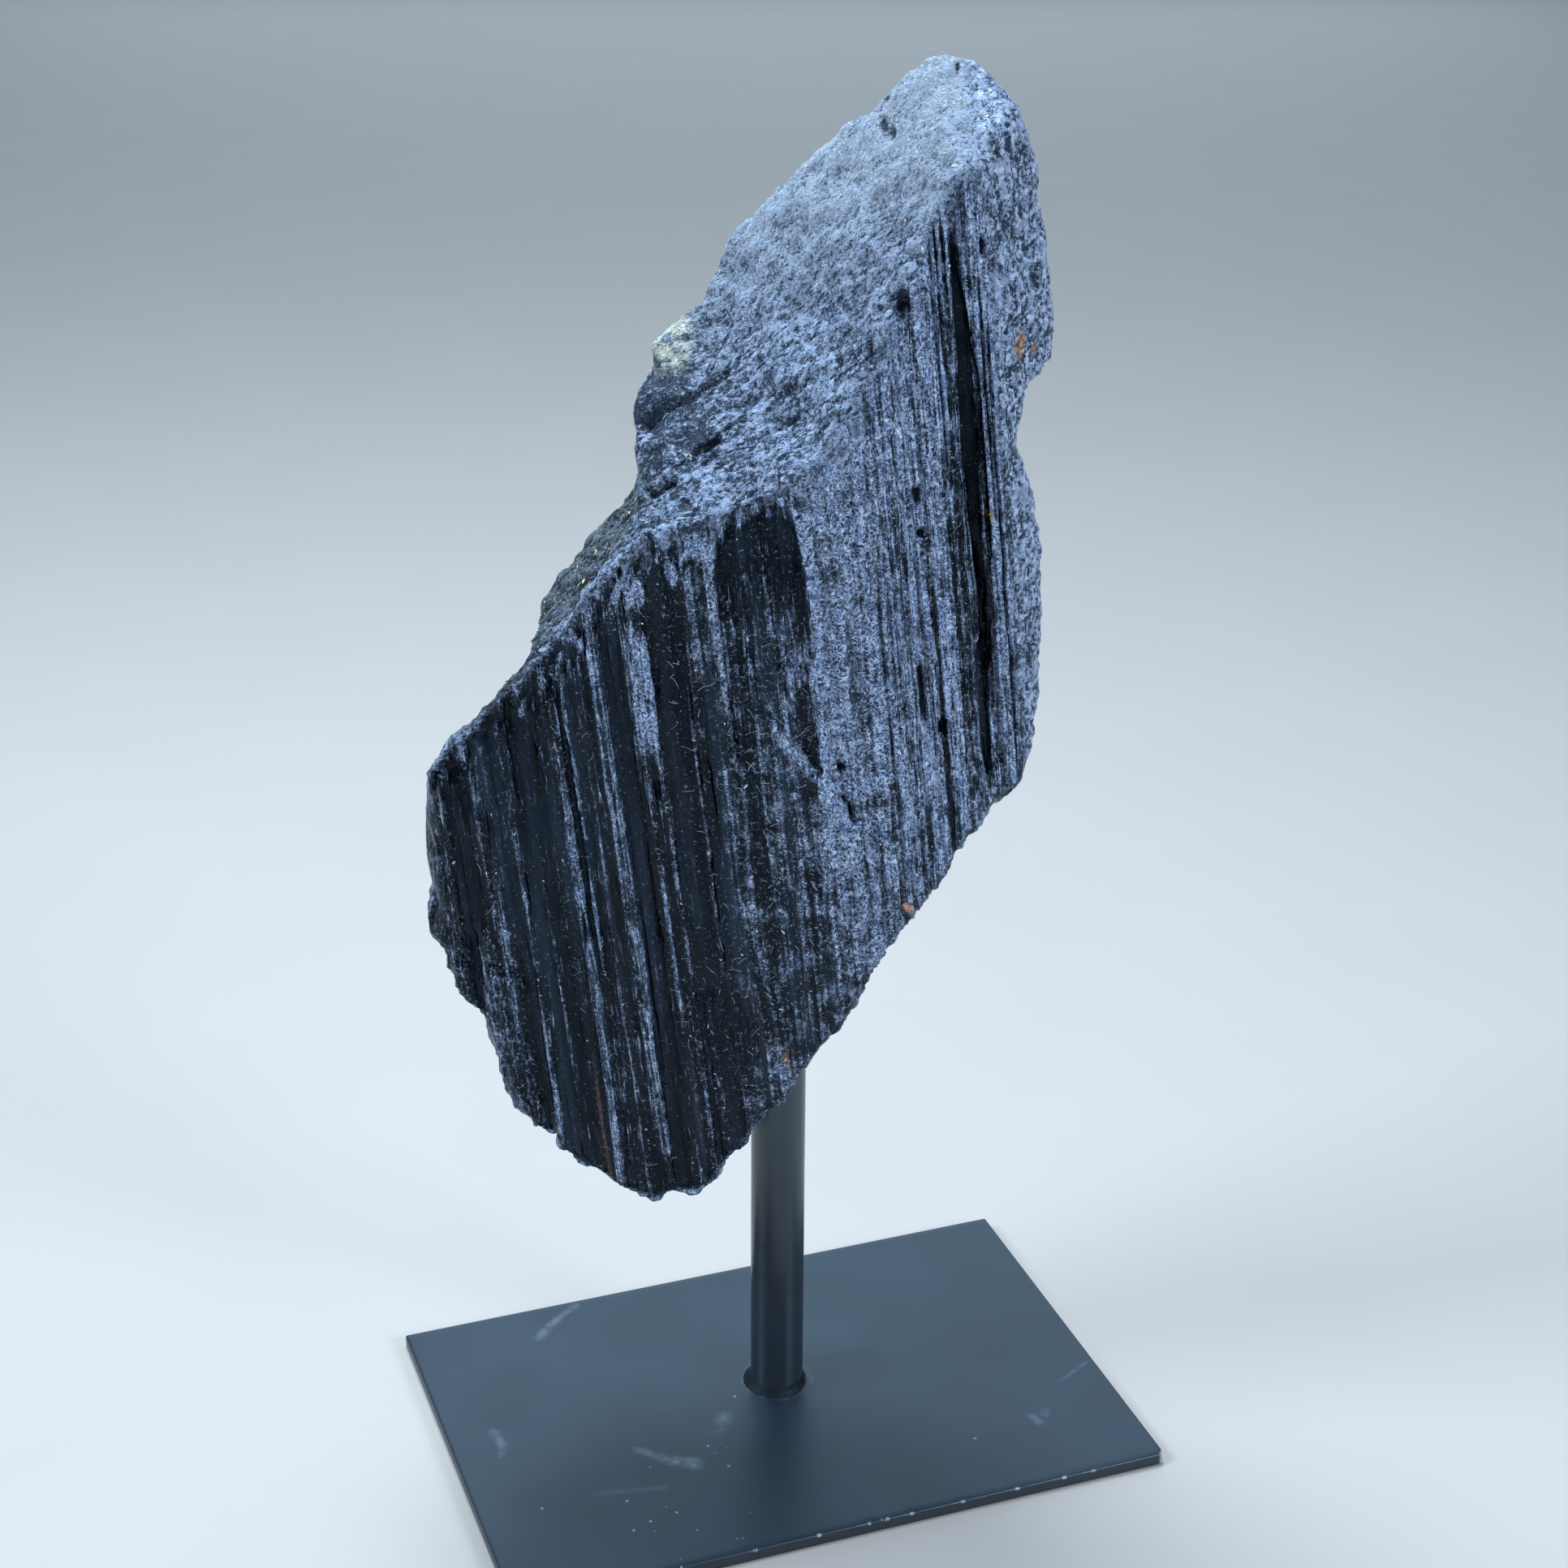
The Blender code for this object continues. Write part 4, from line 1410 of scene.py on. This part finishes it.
# %% The coat
def coat_paint(name, shade, roughness, sheen=0.5, extra=None):
    paint = Paint(name)
    here = paint.place()
    cloudy = paint.clouds(here, 22, detail=3)
    peel = paint.clouds(here, 0.9, detail=2)
    fine = paint.clouds(here, 0.25, detail=2)
    lighter = tuple(value * 1.22 for value in shade)
    colour = paint.mix(cloudy.ramp(0.35, 0.65), shade, lighter)
    gloss = roughness + 0.10 * (cloudy - 0.5) + 0.10 * (fine - 0.5)
    relief = peel * 0.012 + fine * 0.004
    if extra:
        colour, gloss = extra(paint, here, colour, gloss)
    return paint.set(
        Base_Color=colour,
        Roughness=gloss,
        Specular_IOR_Level=sheen,
        Specular_Tint=(0.84, 0.98, 1.0, 1.0),
        Normal=paint.bump(relief),
    )


# %% Marks on the plate
# Each smear is: two spots on the plate, its width and its strength.
SMEARS = (
    ((-35.7, -9.6), (-31.0, -14.5), 1.6, 0.6),
    ((-31.0, -14.5), (-24.9, -19.1), 2.2, 0.75),
    ((-27.5, -16.5), (-24.5, -17.5), 1.8, 0.6),
    ((-14.6, -6.0), (-13.6, -5.0), 2.6, 0.6),
    ((-17.0, -10.0), (-16.0, -9.0), 1.8, 0.3),
    ((-45.9, 38.1), (-38.5, 44.8), 1.5, 0.6),
    ((-38.5, 44.8), (-33.5, 48.0), 1.3, 0.6),
    ((-64.5, 7.3), (-63.6, 2.0), 1.6, 0.5),
    ((-63.6, 2.0), (-64.9, -1.5), 1.2, 0.45),
    ((52.4, -28.0), (53.0, -30.4), 1.5, 0.55),
    ((56.2, -27.0), (55.4, -28.4), 1.3, 0.45),
    ((63.4, -18.5), (73.0, -13.7), 0.7, 0.4),
    ((-49.0, -21.0), (-34.0, -24.0), 1.2, 0.25),
)
DOTS = (
    (-34.1, -32.8), (-61.2, -21.8), (-40.3, -33.7), (-44.6, -35.3), (-43.1, -25.6),
    (-18.4, -21.7), (-20.5, -13.5), (37.0, -31.0), (-9.0, 1.5),
)


def plate_marks(paint, here, colour, gloss):
    """Adds the smears, dots, a painted highlight round the weld's foot, and the chipped edge of
    the plate.
    """
    x, y, z = (paint.axis(here, name) for name in "XYZ")
    soft = paint.clouds(here, 3.0, detail=3, roughness=0.7)
    smear = strongest(paint.stroke(x, y, *line) * strength for *line, strength in SMEARS)
    smear = smear * soft.ramp(0.25, 0.75) * z.ramp(2.5, 2.8)
    dots = strongest(1 - paint.distance(x, y, spot).ramp(0.25, 0.45) for spot in DOTS)
    cells = paint.add("ShaderNodeTexVoronoi", sockets={"Vector": here, "Scale": 0.22})
    specks = 1 - cells.ramp(0.03, 0.06)
    corner = (1 - paint.distance(x, y, (-38, -32)).ramp(8, 42)) * 0.8
    dots = (dots * 0.65).most(specks * corner) * z.ramp(2.5, 2.8)
    # A thin ring round the weld's foot: a painted highlight.
    rim = paint.distance(x, y, POST_AT)
    rim = rim.ramp(7.3, 7.9) * (1 - rim.ramp(8.0, 9.0)) * soft.ramp(0.4, 0.7) * 0.22
    worn = paint.clouds(paint.stretch(here, (1, 0.3, 0.3)), 2.4, detail=4, roughness=0.75)
    edge = (1 - y.ramp(-49.9, -49.3)).most((1 - abs(z - 2.75).ramp(0.1, 0.5)) * x.ramp(74.2, 74.7))
    edge = edge * z.ramp(2.2, 2.6)
    bare = edge * worn.ramp(0.64, 0.70)
    for across in CHIPS:
        bare = bare.most(edge * (1 - abs(x - across).ramp(0.2, 0.7)) * worn.ramp(0.35, 0.5))
    tip = (1 - paint.distance(x, y, (75, -50)).ramp(0.6, 1.6)) * worn.ramp(0.3, 0.5)
    bare = bare.most(tip)
    # The sheared sides are a warmer dark grey: partly their own colour, partly a painted
    # reflection of the warm floor.
    flank = 1 - z.ramp(2.2, 2.6)
    colour = paint.mix(flank * 0.6, colour, (0.030, 0.026, 0.026))
    # Smears, and the painted highlight round the weld's foot, in one lighter colour.
    colour = paint.mix(smear.most(rim) * 0.42, colour, (0.34, 0.42, 0.52))
    colour = paint.mix(dots * 0.7, colour, (0.36, 0.42, 0.50))
    colour = paint.mix(bare * 0.75, colour, (0.52, 0.52, 0.58))
    return colour, gloss + smear * 0.12 - bare * 0.1


print(len(SMEARS), "smears,", len(DOTS), "dots and", len(CHIPS), "chips")

# %% Mark on the weld
def weld_marks(paint, here, colour, gloss):
    """A trace of rust where the coat is thin on the weld."""
    x, y = (paint.axis(here, name) for name in "XY")
    spot = 1 - paint.distance(x, y, (9.3, 2.2)).ramp(0.5, 1.4)
    spot = spot * paint.clouds(here, 0.6).ramp(0.4, 0.6)
    return paint.mix(spot * 0.8, colour, (0.20, 0.07, 0.04)), gloss


# %% Finish the stand
SLATE = (0.015, 0.024, 0.040)
plate_coat = coat_paint("plate_coat", SLATE, 0.38, extra=plate_marks)
post_coat = coat_paint("post_coat", (0.020, 0.026, 0.037), 0.29, sheen=0.75)
# The weld's coat is darker than the post's, as painted shade in the corner at the post's foot, and
# duller.
weld_coat = coat_paint("weld_coat", (0.008, 0.012, 0.019), 0.55, 0.15, weld_marks)
name_piece(plate, "foot_plate", plate_coat, replaced="base_plate")
name_piece(post, "round_post", post_coat, replaced="post")
name_piece(weld, "weld_fillet", weld_coat, replaced="weld_bead")

# %% [markdown]
# ## Studio
#
# A wide pale floor, a dim even sky, and four soft panels: one overhead for the broken tip, one
# from the left that grazes the striated face and brings out its lines, one from the right that
# rules a highlight down the post, and a large weak one behind, for the sheen on the plate.


# %% Floor
FLOOR_SIDE = 16
bpy.ops.mesh.primitive_plane_add(size=FLOOR_SIDE, location=(0, 0, 0))
floor = bpy.context.object
floor.name = "floor"
floor_paint = Paint("pale_floor")
cloud = floor_paint.clouds(floor_paint.place(), 60, detail=3)
floor.data.materials.append(
    floor_paint.set(
        Base_Color=floor_paint.mix(cloud, (0.50, 0.455, 0.43), (0.53, 0.48, 0.45)),
        Roughness=0.85,
    )
)
print("floor is", FLOOR_SIDE, "m wide")


# %% Lights
def panel(name, place, target, size, power, tint):
    """A square soft light that faces a point."""
    bpy.ops.object.light_add(type="AREA", location=place)
    light = bpy.context.object
    light.name = name
    light.rotation_euler = (Vector(target) - Vector(place)).to_track_quat("-Z", "Y").to_euler()
    light.data.size = size
    light.data.energy = power
    light.data.color = tint


MIDDLE = (0, 0, 0.18)
DAYLIGHT = (0.70, 0.86, 1.0)
panel("overhead", (-0.02, 0.26, 0.86), (0, 0, 0.1), 0.30, 8.0, DAYLIGHT)
panel("left_side", (-0.95, 0.05, 0.85), MIDDLE, 0.35, 11.0, DAYLIGHT)
panel("right_side", (0.60, -0.85, 0.58), MIDDLE, 0.35, 9.0, DAYLIGHT)
panel("back", (0.60, 1.75, 0.85), MIDDLE, 1.6, 10.0, (0.62, 0.83, 1.0))

world = bpy.data.worlds.new("studio")
bpy.context.scene.world = world
world.use_nodes = True
sky_shader = world.node_tree.nodes["Background"]
sky_shader.inputs["Color"].default_value = (0.68, 0.85, 1.0, 1)
sky_shader.inputs["Strength"].default_value = 0.26
bpy.context.scene.view_settings.view_transform = "Standard"
print("studio ready")
